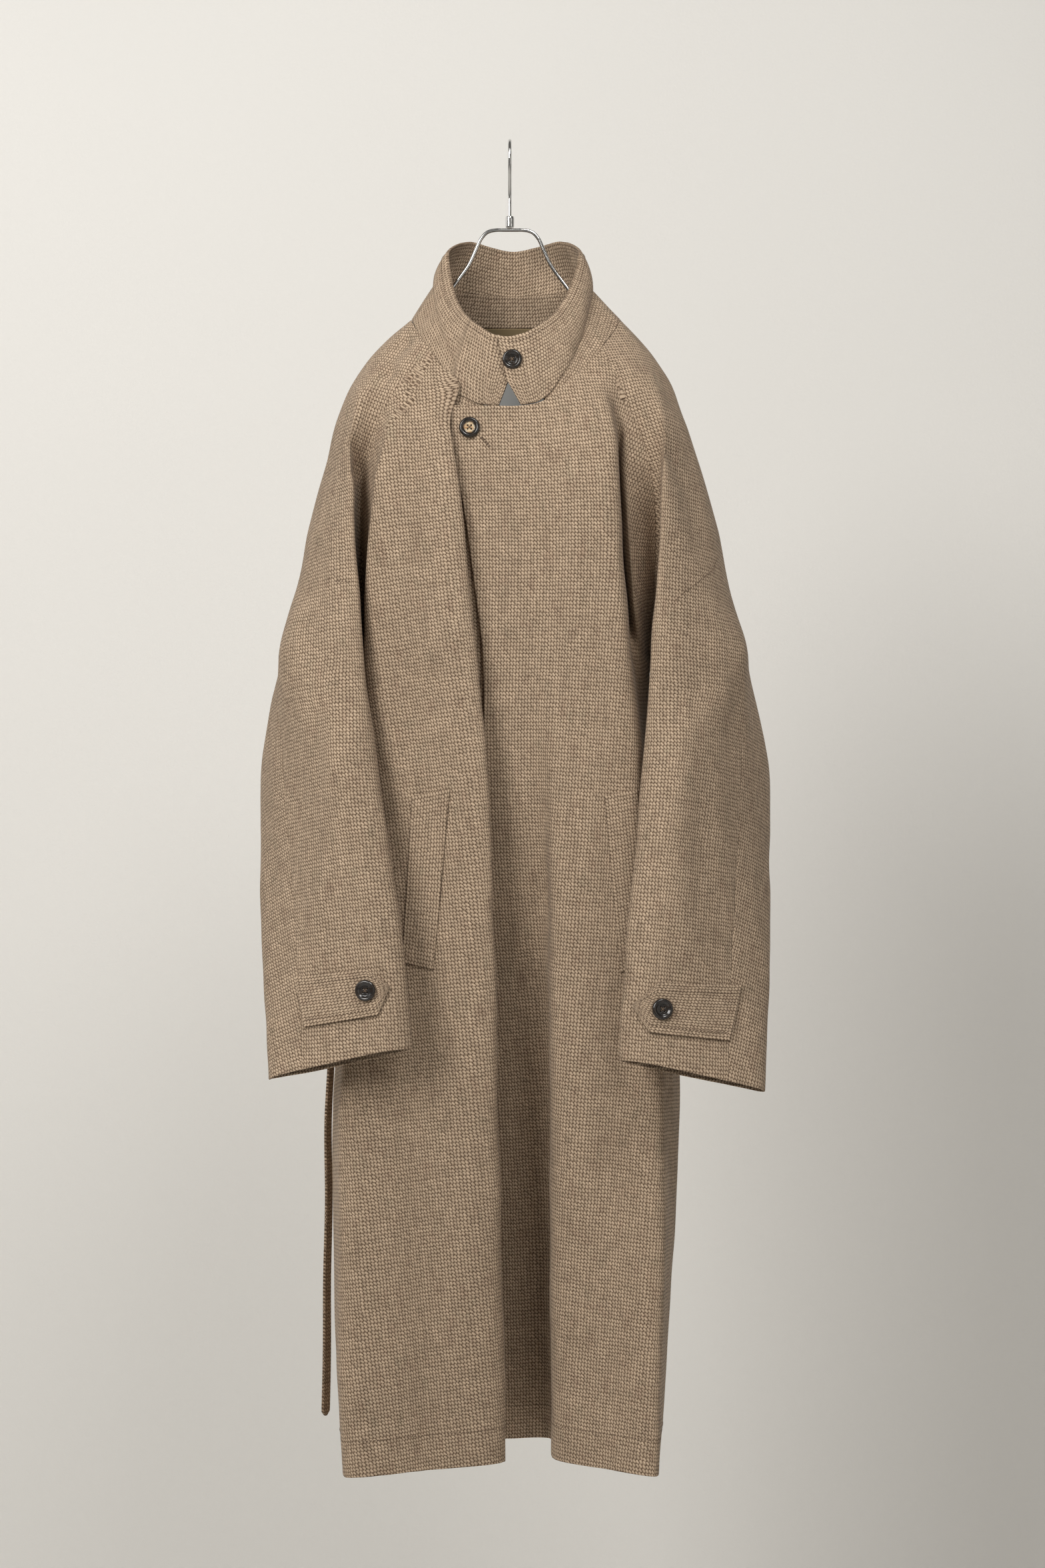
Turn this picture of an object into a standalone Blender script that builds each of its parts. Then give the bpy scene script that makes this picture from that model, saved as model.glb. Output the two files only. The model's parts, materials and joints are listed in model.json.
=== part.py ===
"""A balmacaan coat that hangs, buttoned at the neck, from a wire hanger.

The origin is the inside of the hook's crown, where the hanger rests on its rail.
+Z is up, the coat's front looks along -Y, and +X is the wearer's left side.
All sizes below are in millimetres and become metres when a mesh or curve is made.
"""
import math

import bpy
import numpy as np
from mathutils import Vector
from mathutils.bvhtree import BVHTree

COLLECTION = "balmacaan_coat"
MM = 0.001

# Cloth walls and the play between pieces
WALL = 2.2
COLLAR_WALL = 3.4
TAB_WALL = 3.2
WELT_WALL = 2.4
LINING_WALL = 1.0
SEAM_GAP = 0.45
STAND_GAP = 0.8
UNDERARM_PLAY = 2.4
LIE_GAP = 0.8
TAB_GAP = 1.3

# Steps between two rows or two stations of the tables
ROW_STEPS = 2
COLUMN_STEPS = 2

# Hanger
WIRE = 3.6
BOW_WIRE = 4.0
HOOK_RADIUS = 20.5
# The bow's path beside the ferrule, outwards, and the rings where it lies under the ridge
BOW = ((6, 0, -94.8), (14, 0, -94.8), (24, 0, -97), (31, 0, -104), (37, 0, -117), (44, 0, -132),
       (56, 0, -149), (74, -2, -172), (92, -5, -192))
BOW_PLAY = 0.9
ARM_ROWS = (0.5, 1.0, 1.5, 2.0, 2.5)

# Buttons
BUTTON_SIZE = 22.0
NECK_BUTTON_SIZE = 21.0
BUTTON_HEIGHT = 4.2

# Tie strap
STRAP_WIDTH = 13.0
STRAP_WALL = 3.0
# Where on the side seam it is sewn, how it hangs from there, and how far it turns
STRAP_ROW = 9.1
STRAP_ROUTE = ((-182, 14, -850), (-195, 18, -930), (-198, 20, -1030), (-199, 20, -1150),
               (-200, 20, -1270), (-202, 20, -1389))
STRAP_TURN = 33.0

# Linear colours
CLOTH_COLOUR = (0.30, 0.235, 0.165)
LINING_COLOUR = (0.62, 0.63, 0.62)
FACING_COLOUR = (0.20, 0.145, 0.075)
HORN_COLOUR = (0.022, 0.017, 0.014)
CHROME_COLOUR = (0.62, 0.61, 0.60)


def table(names, *rows):
    """Rows of numbers as one array for each named column."""
    values = np.array(rows, dtype=float)
    return {name: values[:, i] for i, name in enumerate(names.split())}


# Heights of each ring at the centre front, over the shoulder and at the centre back,
# the depth of the back, how far its soft folds stand out, and the middle plane in depth
# of the body and of the sleeves.
# The first eight rings run from the neckline to the underarm, the others down to the hem.
LEVELS = table(
    "front side back back_y fold middle arm",
    (-298, -194, -190, 66, 0, -8, -8),
    (-330, -219, -216, 75, 0, -5, -5),
    (-365, -255, -253, 86, 1, -1, -2),
    (-400, -303, -300, 94, 2, 2, -2),
    (-432, -360, -356, 99, 4, 4, -4),
    (-470, -420, -416, 103, 6, 5, -8),
    (-515, -488, -485, 105, 8, 5, -13),
    (-560, -560, -560, 106, 9, 5, -20),
    (-660, -660, -660, 107, 10, 5, 0),
    (-780, -780, -780, 108, 11, 5, 0),
    (-900, -900, -900, 109, 12, 5, 0),
    (-1020, -1020, -1020, 110, 13, 5, 0),
    (-1150, -1150, -1150, 111, 14, 5, 0),
    (-1290, -1290, -1290, 112, 15, 5, 0),
    (-1420, -1424, -1424, 113, 16, 5, 0),
)
UNDERARM = 7

# Centre front on each ring: the edge of the lapping front, the floor of the long recess,
# the fold at its left, the fold of the other front that covers the edge, and its return.
FRONT = table(
    "flap_x flap_y floor_x floor_y crest_x crest_y lap_x lap_y turn_x turn_y",
    (-62, -88, 12, -87, 35, -85, -70, -86, -73, -82),
    (-61, -90, 14, -91, 40, -91, -62, -96, -68, -86),
    (-55, -92, 18, -93, 45, -95, -57, -102, -62, -87),
    (-49, -92, 20, -94, 48, -97, -53, -106, -57, -87),
    (-44, -92, 22, -94, 50, -98, -49, -109, -52, -87),
    (-39, -91, 25, -93, 50, -98, -45, -111, -48, -86),
    (-33, -90, 28, -92, 50, -98, -41, -112, -43, -85),
    (-28, -88, 30, -90, 50, -97, -36, -112, -38, -82),
    (-27, -80, 34, -82, 50, -94, -25, -110, -37, -72),
    (-30, -62, 38, -64, 50, -89, -18, -103, -41, -52),
    (-34, -38, 40, -38, 50, -83, -15, -95, -46, -29),
    (-37, -14, 42, -13, 49, -76, -12, -85, -50, -6),
    (-40, 8, 43, 9, 49, -66, -9, -74, -53, 16),
    (-42, 28, 43, 29, 49, -56, -6, -63, -55, 36),
    (-44, 42, 43, 43, 49, -47, -4, -53, -57, 50),
)
UNDER_EDGE = 32
LAP_PLAY = 6.5

# Armhole side of each ring down to the underarm, measured outwards from the centre:
# the chest's fold, the hollow beside it, the strip, the raglan seam, the sleeve's inner
# side, its front fold and its outermost point.
ARMHOLE = {
    "left": table(
        "chest_x chest_y hollow_x hollow_y strip_x strip_y seam_x seam_y "
        "inner_x inner_y fold_x fold_y outer_x",
        (72, -78, 81, -72, 89, -66, 97, -58, 104, -48, 111, -36, 120),
        (98, -89, 103, -82, 108, -76, 113, -71, 124, -62, 135, -49, 144),
        (110, -97, 114, -74, 120, -75, 127, -74, 141, -74, 153, -66, 171),
        (112, -99, 115, -54, 122, -76, 144, -72, 155, -76, 163, -84, 189),
        (114, -99, 117, -42, 124, -77, 154, -60, 160, -70, 162, -94, 208),
        (116, -99, 120, -34, 127, -74, 157, -40, 162, -60, 159, -102, 224),
        (121, -98, 125, -32, 132, -66, 155, -18, 162, -50, 155, -108, 237),
        (126, -96, 132, -46, 140, -40, 152, 5, 161, -42, 150, -113, 254),
    ),
    "right": table(
        "chest_x chest_y hollow_x hollow_y strip_x strip_y seam_x seam_y "
        "inner_x inner_y fold_x fold_y outer_x",
        (63, -78, 72, -74, 79, -70, 85, -65, 92, -56, 98, -42, 107),
        (93, -87, 97, -85, 101, -81, 105, -77, 114, -67, 124, -52, 137),
        (122, -95, 124, -91, 126, -86, 130, -81, 141, -77, 152, -70, 165),
        (135, -98, 137, -89, 141, -79, 147, -70, 158, -76, 167, -86, 186),
        (141, -97, 143, -84, 150, -68, 159, -50, 165, -68, 166, -95, 203),
        (147, -94, 148, -76, 154, -55, 160, -32, 167, -60, 164, -102, 217),
        (150, -90, 150, -66, 155, -40, 159, -14, 167, -52, 160, -108, 230),
        (149, -86, 151, -58, 154, -27, 158, 5, 168, -45, 156, -113, 245),
    ),
}

# Body below the underarm: the front corner of each side and the side seam
BODY = {
    "left": table(
        "chest_x chest_y side_x",
        (136, -88, 152),
        (142, -88, 162),
        (156, -94, 178),
        (157, -100, 184),
        (160, -100, 180),
        (158, -100, 171),
        (155, -100, 163),
    ),
    "right": table(
        "chest_x chest_y side_x",
        (140, -84, 153),
        (139, -84, 162),
        (160, -94, 180),
        (172, -100, 190),
        (175, -102, 191),
        (175, -104, 188),
        (172, -105, 181),
    ),
}

# Sleeves below the underarm: the middle and half sizes of each flattened ring, how far
# it is turned towards the front, where the outer seam lies, and the slope of the ring
SLEEVE = table(
    "z mid_x mid_y long outer inner turn seam tilt pitch",
    (-660, 205, -40, 99, 44, 32, 22, 92, 0.05, 0.05),
    (-760, 201, -66, 95, 38, 28, 36, 96, 0.08, 0.10),
    (-860, 194, -98, 88, 30, 23, 53, 102, 0.12, 0.15),
    (-940, 187, -124, 82, 23, 18, 70, 108, 0.16, 0.20),
    (-987, 183, -138, 79, 19, 15, 80, 112, 0.19, 0.25),
)
SLEEVE_CENTRE = 6.5
# How far each cuff drops, and each sleeve's top is turned further and shifted outwards
SLEEVE_DROP = {"left": 12.0, "right": 0.0}
SLEEVE_TURN = {"left": 15.0, "right": 9.0}
SLEEVE_SHIFT = {"left": -3.0, "right": 4.0}
SLEEVE_ANGLES = {"seam": 270, "inner": 308, "fold": 345, "fold_back": 195, "inner_back": 232}
SLEEVE_SQUARE = 0.86

SIGN = {"left": 1.0, "right": -1.0}

# How far each station of a ring hangs from the shoulder's height towards the centre's
FRONT_FALL = {"plane": 0.85, "chest": 0.67, "hollow": 0.58, "strip": 0.48, "seam": 0.38,
              "inner": 0.28, "fold": 0.18, "face": 0.05}
BACK_FALL = {"face": 0.05, "fold": 0.3, "inner": 0.5, "seam": 0.7, "strip": 0.8,
             "hollow": 0.9, "chest": 1.0}
BACK_FOLDS = (0.5, 0.0, -0.5)
# How far a station's mirror plane moves from the body's middle to the sleeve's
ARM_SHARE = {"inner": 0.4, "fold": 1.0}
# How far out each ring's face lies, from the sleeve's fold to its outermost point
FACE_SHARE = np.array([0.8, 0.8, 0.8, 0.8, 0.8, 0.8, 0.83, 0.92])

# Collar by angle round the neck from the centre front: the stand's height and lean,
# the leaf's rim (radius and height) and its outward swell
COLLAR = table(
    "angle stand lean rim_r rim_z swell",
    (0, 0.6, 0.2, 67, -222, 2),
    (30, 0.6, 0.2, 67, -213, 3),
    (42, 5.0, 0.4, 67, -202, 4),
    (55, 22, 0.5, 67, -184, 5),
    (72, 36, 0.55, 67, -150, 4),
    (90, 44, 0.55, 67, -116, 3.5),
    (112, 42, 0.45, 66, -103, 3.5),
    (138, 38, 0.3, 65, -100, 3.5),
    (180, 34, 0.2, 67, -108, 3.5),
)
NECK_X = 4.0
NECK_Y = -8.0
STAND_START = 44
LEFT_LEAN = 0.14
# Where the leaf's two ends cross the centre front at the foot, the notch and the rim
LEAF_ENDS = table("height over under", (0, 6, -12), (0.34, -4.5, -4.5), (1, -14, 16))
LEAF_PLAY = 2.6


def smooth(points, at):
    """Centripetal Catmull-Rom curve through points[i], read at the positions `at`."""
    points = np.asarray(points, dtype=float)
    steps = np.diff(points, axis=0)
    span = np.linalg.norm(steps, axis=-1, keepdims=True) ** 0.5 + 1e-3
    slope = steps / span
    middle = (slope[:-1] * span[1:] + slope[1:] * span[:-1]) / (span[:-1] + span[1:])
    tangent = np.concatenate([slope[:1], middle, slope[-1:]])
    at = np.clip(np.asarray(at, dtype=float), 0, len(points) - 1)
    i = np.minimum(at.astype(int), len(points) - 2)
    f = (at - i).reshape((-1,) + (1,) * (points.ndim - 1))
    start, end, length = points[i], points[i + 1], span[i]
    return ((2 * f**3 - 3 * f**2 + 1) * start + (f**3 - 2 * f**2 + f) * length * tangent[i]
            + (3 * f**2 - 2 * f**3) * end + (f**3 - f**2) * length * tangent[i + 1])


def point(x, y, z):
    """Three arrays or numbers as one array of points."""
    return np.stack(np.broadcast_arrays(x, y, z), axis=-1).astype(float)


def between(a, b, share):
    """The points a part of the way from a to b."""
    return a + (b - a) * share


def fall(side_z, centre_z, share):
    """Height of a station that hangs part of the way to the centre's height."""
    return side_z + (centre_z - side_z) * share


def armhole_stations(side):
    """Named tracks of points down to the underarm, on the front and mirrored to the back."""
    rows, sign = ARMHOLE[side], SIGN[side]
    top = slice(0, UNDERARM + 1)
    heights = {key: LEVELS[key][top] for key in ("front", "side", "back")}
    front, back = {}, {}
    for name in ("chest", "hollow", "strip", "seam", "inner", "fold"):
        middle = between(LEVELS["middle"], LEVELS["arm"], ARM_SHARE.get(name, 0))[top]
        x, y = sign * rows[name + "_x"], rows[name + "_y"]
        front[name] = point(x, y, fall(heights["side"], heights["front"], FRONT_FALL[name]))
        back[name] = point(x, 2 * middle - y, fall(heights["side"], heights["back"], BACK_FALL[name]))
    outer = point(sign * rows["outer_x"], LEVELS["arm"][top], heights["side"])
    for stations, falls, height in ((front, FRONT_FALL, "front"), (back, BACK_FALL, "back")):
        face = between(stations["fold"], outer, 0.5)
        face[:, 0] = between(stations["fold"], outer, FACE_SHARE[:, None])[:, 0]
        face[:, 2] = fall(heights["side"], heights[height], falls["face"])
        stations["face"] = face
    front["outer"] = back["outer"] = outer
    return front, back


def body_stations(side):
    """Named tracks of points from below the underarm to the hem."""
    rows, sign = BODY[side], SIGN[side]
    low = slice(UNDERARM + 1, None)
    z, middle, back_y = LEVELS["side"][low], LEVELS["middle"][low], LEVELS["back_y"][low]
    seam = point(sign * rows["side_x"], middle, z)
    front = {"seam": seam, "chest": point(sign * rows["chest_x"], rows["chest_y"], z)}
    back = {"seam": seam, "chest": point(sign * (rows["chest_x"] + 3), back_y - 8, z)}
    for stations in (front, back):
        for name, share in (("hollow", 0.3), ("strip", 0.65)):
            track = between(stations["chest"], seam, share)
            track[:, 0] = between(stations["chest"], seam, share ** 0.6)[:, 0]
            stations[name] = track
    return front, back


def sleeve_stations(side):
    """Named tracks of points round the sleeve from below the underarm to the cuff.

    Each ring is a squared ellipse whose outer and inner halves differ in depth,
    turned about the vertical and then sloped.
    """
    rows, sign = SLEEVE, SIGN[side]
    angles = {name: np.full(len(rows["z"]), float(a)) for name, a in SLEEVE_ANGLES.items()}
    angles["outer"] = rows["seam"]
    angles["face"] = (rows["seam"] + SLEEVE_ANGLES["fold"] - 360) / 2
    angles["face_back"] = (rows["seam"] + SLEEVE_ANGLES["fold_back"]) / 2
    lower = (rows["z"] - rows["z"][0]) / (rows["z"][-1] - rows["z"][0])
    turn = np.radians(rows["turn"] + SLEEVE_TURN[side] * (1 - lower))
    mid_x = rows["mid_x"] + SLEEVE_SHIFT[side] * (1 - lower)
    stations = {}
    for name, angle in angles.items():
        c, s = np.cos(np.radians(angle)), np.sin(np.radians(angle))
        along = rows["long"] * np.sign(c) * np.abs(c) ** SLEEVE_SQUARE
        across = np.where(s > 0, rows["outer"], rows["inner"]) * np.sign(s) * np.abs(s) ** SLEEVE_SQUARE
        out = across * np.cos(turn) - along * np.sin(turn)
        y = -along * np.cos(turn) - across * np.sin(turn)
        z = rows["z"] - SLEEVE_DROP[side] * lower - rows["tilt"] * out - rows["pitch"] * y
        stations[name] = point(SLEEVE_CENTRE + sign * (mid_x + out), rows["mid_y"] + y, z)
    return stations


def front_edge_stations(side):
    """Tracks from the front's edge to its side, for the lapping or the covered front."""
    z = LEVELS["front"]
    crest_fall = fall(LEVELS["side"], z, 0.95)
    chest = np.concatenate([armhole_stations(side)[0]["chest"], body_stations(side)[0]["chest"]])
    if side == "left":
        edge = point(FRONT["flap_x"], FRONT["flap_y"], z)
        floor = point(FRONT["floor_x"], FRONT["floor_y"], z)
        fold = point(FRONT["crest_x"], FRONT["crest_y"], crest_fall)
        first = [edge, between(edge, floor, 0.5), floor, fold]
    else:
        behind = point(FRONT["flap_x"] + 9, FRONT["flap_y"] + LAP_PLAY, z)
        under = point(np.full(len(z), UNDER_EDGE), FRONT["floor_y"] + LAP_PLAY, z)
        turn = point(FRONT["turn_x"], FRONT["turn_y"], z)
        fold = point(FRONT["lap_x"], FRONT["lap_y"], crest_fall)
        first = [under, between(under, behind, 0.5), behind, turn, fold]
    plane = between(fold, chest, 0.55)
    plane[:, 1] = between(fold, chest, 0.55)[:, 1] - 2.5
    return first + [plane]


class Sheet:
    """A cloth surface through tracks of points, with one neighbour track at each side.

    `tracks` run front to back. Rows above the underarm and rows below it have their own
    neighbours, because body and sleeve part there. `shared` holds, for a track on the
    raglan seam, the point below and the point above the underarm that steer its curve,
    so that pieces which meet follow the same curve.
    """

    def __init__(self, tracks, before, after, flip, shared):
        rows = range(len(tracks[0]))
        halves = [[np.take(track, rows, axis=0, mode="clip") for track in (ahead, *tracks, behind)]
                  for ahead, behind in zip(before, after)]
        self.upper, self.lower = [np.swapaxes(np.array(half), 0, 1) for half in halves]
        for index, (below, above) in shared.items():
            self.upper[UNDERARM + 1, index + 1] = below
            self.lower[UNDERARM - 1, index + 1] = above
        self.rows, self.count = len(self.upper), len(tracks)
        self.flip, self.shared = flip, shared

    def at(self, row, column):
        """Grid of points at row and column positions; column 0 is the first own track."""
        rows = np.asarray(row, dtype=float)
        above = (rows <= UNDERARM)[:, None, None]
        lines = np.where(above, smooth(self.upper, rows), smooth(self.lower, rows))
        grid = smooth(np.swapaxes(lines, 0, 1), np.asarray(column, dtype=float) + 1)
        return np.swapaxes(grid, 0, 1)

    def normals(self, row, column):
        """Outward unit normals from differences over a small step each way."""
        d = 0.02
        row, column = np.asarray(row, dtype=float), np.asarray(column, dtype=float)
        down = self.at(np.minimum(row + d, self.rows - 1), column) - self.at(np.maximum(row - d, 0), column)
        along = self.at(row, column + d) - self.at(row, column - d)
        normal = np.cross(down, along) * (-1 if self.flip else 1)
        if UNDERARM in row:
            spot = list(row).index(UNDERARM)
            for index in self.shared:
                normal[spot, list(column).index(index)] = (0, 0, -1)
        return normal / np.linalg.norm(normal, axis=-1, keepdims=True)


def steps(first, last, per):
    """Evenly spaced positions from first to last with `per` steps to each unit."""
    return np.linspace(first, last, int(round((last - first) * per)) + 1)


def material(name, colour, roughness, metallic=0.0):
    """A Principled BSDF material, made once."""
    made = bpy.data.materials.get(name)
    if made is None:
        made = bpy.data.materials.new(name)
        made.use_nodes = True
        shader = made.node_tree.nodes["Principled BSDF"]
        shader.inputs["Base Color"].default_value = (*colour, 1.0)
        shader.inputs["Roughness"].default_value = roughness
        shader.inputs["Metallic"].default_value = metallic
    return made


def place(name, data, finish):
    """Puts new mesh or curve data into the coat's collection."""
    data.materials.append(material(*finish))
    made = bpy.data.objects.new(name, data)
    bpy.data.collections[COLLECTION].objects.link(made)
    return made


CLOTH = ("coat_cloth", CLOTH_COLOUR, 0.92)
LINING = ("lining_cloth", LINING_COLOUR, 0.45)
FACING = ("facing_cloth", FACING_COLOUR, 0.7)
HORN = ("horn_button", HORN_COLOUR, 0.32)
CHROME = ("chrome_wire", CHROME_COLOUR, 0.12, 1.0)


def trimmed(grid, row):
    """The grid with its first and last columns moved in along the surface by half a seam.

    Beside the underarm, where the seam's edge twists, they move further.
    """
    grid = grid.copy()
    amount = SEAM_GAP / 2 * np.where(np.abs(row - UNDERARM) < 1, UNDERARM_PLAY, 1)[:, None]
    for edge, inward in ((0, 1), (-1, -2)):
        way = grid[:, inward] - grid[:, edge]
        grid[:, edge] += way / np.linalg.norm(way, axis=-1, keepdims=True) * amount
    return grid


def closed_wall(name, outer, inner, finish=CLOTH):
    """One closed solid from an outer grid, an inner grid and the edges between them.

    Outer and inner quads start at the same corner, so that both split along the same
    diagonal and the wall keeps its thickness.
    """
    rows, columns = outer.shape[:2]
    index = np.arange(rows * columns).reshape(rows, columns)
    inside = index + rows * columns

    def quads(a, b, c, d):
        return np.stack([a.ravel(), b.ravel(), c.ravel(), d.ravel()], axis=1)

    faces = [
        quads(index[:-1, :-1], index[1:, :-1], index[1:, 1:], index[:-1, 1:]),
        quads(inside[:-1, :-1], inside[:-1, 1:], inside[1:, 1:], inside[1:, :-1]),
        quads(index[0, :-1], index[0, 1:], inside[0, 1:], inside[0, :-1]),
        quads(index[-1, 1:], index[-1, :-1], inside[-1, :-1], inside[-1, 1:]),
        quads(index[1:, 0], index[:-1, 0], inside[:-1, 0], inside[1:, 0]),
        quads(index[:-1, -1], index[1:, -1], inside[1:, -1], inside[:-1, -1]),
    ]
    vertices = np.concatenate([outer.reshape(-1, 3), inner.reshape(-1, 3)]) * MM
    mesh = bpy.data.meshes.new(name)
    mesh.from_pydata(vertices.tolist(), [], np.concatenate(faces).tolist())
    mesh.polygons.foreach_set("use_smooth", [True] * len(mesh.polygons))
    mesh.update()
    return place(name, mesh, finish)


def sheet_wall(name, sheet, row, column, wall=WALL):
    """A cloth piece from its sheet, trimmed at its seams."""
    outer, normal = sheet.at(row, column), sheet.normals(row, column)
    inner = outer - normal * wall
    outer, inner = trimmed(outer, row), trimmed(inner, row)
    if sheet.flip:
        outer, inner = outer[:, ::-1], inner[:, ::-1]
    return closed_wall(name, outer, inner)


def side_tracks(side):
    """Every track of one side from neckline to hem or cuff, and the points they share."""
    body, arm = armhole_stations(side), sleeve_stations(side)
    low_body = body_stations(side)
    tracks = {}
    for half, upper, lower, mark in (("front", body[0], low_body[0], ""),
                                     ("back", body[1], low_body[1], "_back")):
        for name in ("chest", "hollow", "strip", "seam"):
            tracks[half, name] = np.concatenate([upper[name], lower[name]])
        for name in ("inner", "fold", "face"):
            tracks[half, name] = np.concatenate([upper[name], arm[name + mark]])
        tracks[half, "outer"] = np.concatenate([upper["outer"], arm["outer"]])
        tracks[half, "arm_seam"] = np.concatenate([upper["seam"], arm["seam"]])
    below = between(low_body[0]["seam"][0], arm["seam"][0], 0.5)
    above = between(body[0]["seam"][UNDERARM - 1], body[1]["seam"][UNDERARM - 1], 0.5)
    return tracks, (below, above)


def all_sheets():
    """Every cloth surface of the body and sleeves by name."""
    sheets, backs = {}, {}
    for side in ("left", "right"):
        flip = side == "right"
        line, shared = side_tracks(side)

        tracks = front_edge_stations(side)
        tracks += [line["front", name] for name in ("chest", "hollow", "strip", "seam")]
        edge = 2 * tracks[0] - tracks[1]
        sheets["front_" + side] = Sheet(tracks, (edge, edge), (line["front", "inner"], line["back", "strip"]),
                                        flip, {len(tracks) - 1: shared})

        names = ("arm_seam", "inner", "fold", "face", "outer")
        ends = (line["back", "face"], line["back", "face"])
        sheets["sleeve_front_" + side] = Sheet([line["front", name] for name in names],
                                               (line["front", "strip"], line["back", "inner"]), ends,
                                               flip, {0: shared})
        ends = (line["front", "face"], line["front", "face"])
        sheets["sleeve_back_" + side] = Sheet([line["back", name] for name in names[::-1]], ends,
                                              (line["back", "strip"], line["front", "inner"]),
                                              flip, {4: shared})

        half = [line["back", name] for name in ("seam", "strip", "hollow", "chest")]
        backs[side] = (half, (line["back", "inner"], line["front", "strip"]), shared)

    half_left, before, shared_left = backs["left"]
    half_right, after, shared_right = backs["right"]
    middle = []
    for number, share in enumerate(BACK_FOLDS):
        x = between(half_right[-1], half_left[-1], 0.5 + share / 2)[:, 0]
        y = LEVELS["back_y"] + LEVELS["fold"] * (0.5 if number % 2 == 0 else -0.5)
        middle.append(point(x, y, LEVELS["back"]))
    tracks = half_left + middle + half_right[::-1]
    shared = {0: shared_left, len(tracks) - 1: shared_right}
    sheets["back"] = Sheet(tracks, before, after, False, shared)
    return sheets


def make_body_and_sleeves(sheets):
    """The two fronts, the back and the four sleeve pieces."""
    for name, sheet in sheets.items():
        rows = steps(0, sheet.rows - 1, ROW_STEPS)
        sheet_wall(name, sheet, rows, steps(0, sheet.count - 1, COLUMN_STEPS))


def make_back_insides(sheets):
    """The tan neck facing and the pale lining behind the neck, inside the back."""
    sheet = sheets["back"]
    rows = steps(0, sheet.rows - 1, ROW_STEPS)
    columns = steps(0, sheet.count - 1, COLUMN_STEPS)
    outer, normal = sheet.at(rows, columns), sheet.normals(rows, columns)
    near = outer - normal * (WALL + LIE_GAP)
    far = near - normal * LINING_WALL
    for name, top, bottom, finish in (("neck_facing", 0, 1, FACING), ("back_lining", 1, 9, LINING)):
        part = (slice(top, bottom + 1), slice(7, len(columns) - 7))
        front, back = near[part].copy(), far[part].copy()
        if name == "back_lining":
            for grid in (front, back):
                way = grid[1] - grid[0]
                grid[0] += way / np.linalg.norm(way, axis=-1, keepdims=True) * SEAM_GAP
        closed_wall(name, front, back, finish)


def neckline(sheets):
    """The neck edge as points against the angle round the neck, flap edge to under edge."""
    runs = []
    for name, reverse in (("front_left", False), ("sleeve_front_left", False),
                          ("sleeve_back_left", False), ("back", False),
                          ("sleeve_back_right", True), ("sleeve_front_right", True),
                          ("front_right", True)):
        line = sheets[name].at([0.0], steps(0, sheets[name].count - 1, 8))[0]
        runs.append(line[::-1] if reverse else line)
    line = np.concatenate(runs)
    angle = np.degrees(np.unwrap(np.arctan2(line[:, 0] - NECK_X, NECK_Y - line[:, 1])))
    keep = np.concatenate([[True], np.diff(np.maximum.accumulate(angle)) > 1e-6])
    return angle[keep], line[keep]


def collar_column(name, angle):
    """A collar column at any angle, with the same values on both sides of the neck."""
    folded = np.abs((np.asarray(angle) + 180) % 360 - 180)
    knots = smooth(COLLAR[name][:, None], np.interp(folded, COLLAR["angle"], np.arange(len(COLLAR["angle"]))))
    return knots[:, 0]


def neck_points(angle, sheets):
    """Points of the neck edge at the given angles."""
    known, line = neckline(sheets)
    return np.stack([np.interp(angle, known, line[:, i]) for i in range(3)], axis=-1)


def outward(angle):
    """Level unit vectors away from the neck's axis."""
    turn = np.radians(angle)
    return point(np.sin(turn), -np.cos(turn), 0)


def stand_top(angle, sheets):
    """The seam between the collar's stand and leaf: the neck edge raised and leaned in."""
    height, lean = collar_column("stand", angle)[:, None], collar_column("lean", angle)[:, None]
    lean = lean + LEFT_LEAN * np.sin(np.radians(np.clip(angle, 0, 180)))[:, None]
    rise = np.sqrt(1 - lean ** 2)
    return neck_points(angle, sheets) + height * (point(0, 0, 1) * rise - outward(angle) * lean)


def leaf_row(angle, height, sheets):
    """Points of the leaf at one height from its foot (0) to its rim (1)."""
    foot = stand_top(angle, sheets)
    radius = collar_column("rim_r", angle)
    wrapped = (angle + 180) % 360 - 180
    play = np.clip((50 - np.abs(wrapped)) / 40, 0, 1) * np.where(angle < 180, 1, -1) * LEAF_PLAY
    rim = outward(angle) * (radius + play)[:, None] + point(NECK_X, NECK_Y, 0)
    rim[:, 2] = collar_column("rim_z", angle)
    swell = collar_column("swell", angle)[:, None] * 4 * height * (1 - height)
    return between(foot, rim, height) + outward(angle) * swell


def collar_wall(name, outer, angle):
    """A collar piece whose thickness is measured level, towards the neck's axis."""
    closed_wall(name, outer, outer - outward(angle) * COLLAR_WALL)


def make_collar(sheets):
    """The stand, which tapers to nothing at both sides of the front, and the leaf."""
    around = np.linspace(STAND_START, 360 - STAND_START, 35)
    angles, rows = [], []
    for height in np.linspace(1, 0, 5):
        start = np.interp(height, LEAF_ENDS["height"], LEAF_ENDS["over"])
        end = 360 + np.interp(height, LEAF_ENDS["height"], LEAF_ENDS["under"])
        angle = np.concatenate([np.linspace(start, around[0], 6)[:-1], around,
                                np.linspace(around[-1], end, 6)[1:]])
        angles.append(angle)
        rows.append(leaf_row(angle, height, sheets))
    collar_wall("collar_leaf", np.array(rows), np.array(angles))

    foot, top = neck_points(around, sheets), stand_top(around, sheets)
    way = (top - foot) / np.linalg.norm(top - foot, axis=-1, keepdims=True)
    foot, top = foot + way * STAND_GAP, top - way * STAND_GAP
    rows = np.array([between(foot, top, share) for share in (1.0, 0.5, 0.0)])
    collar_wall("collar_stand", rows, np.tile(around, (3, 1)))


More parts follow.
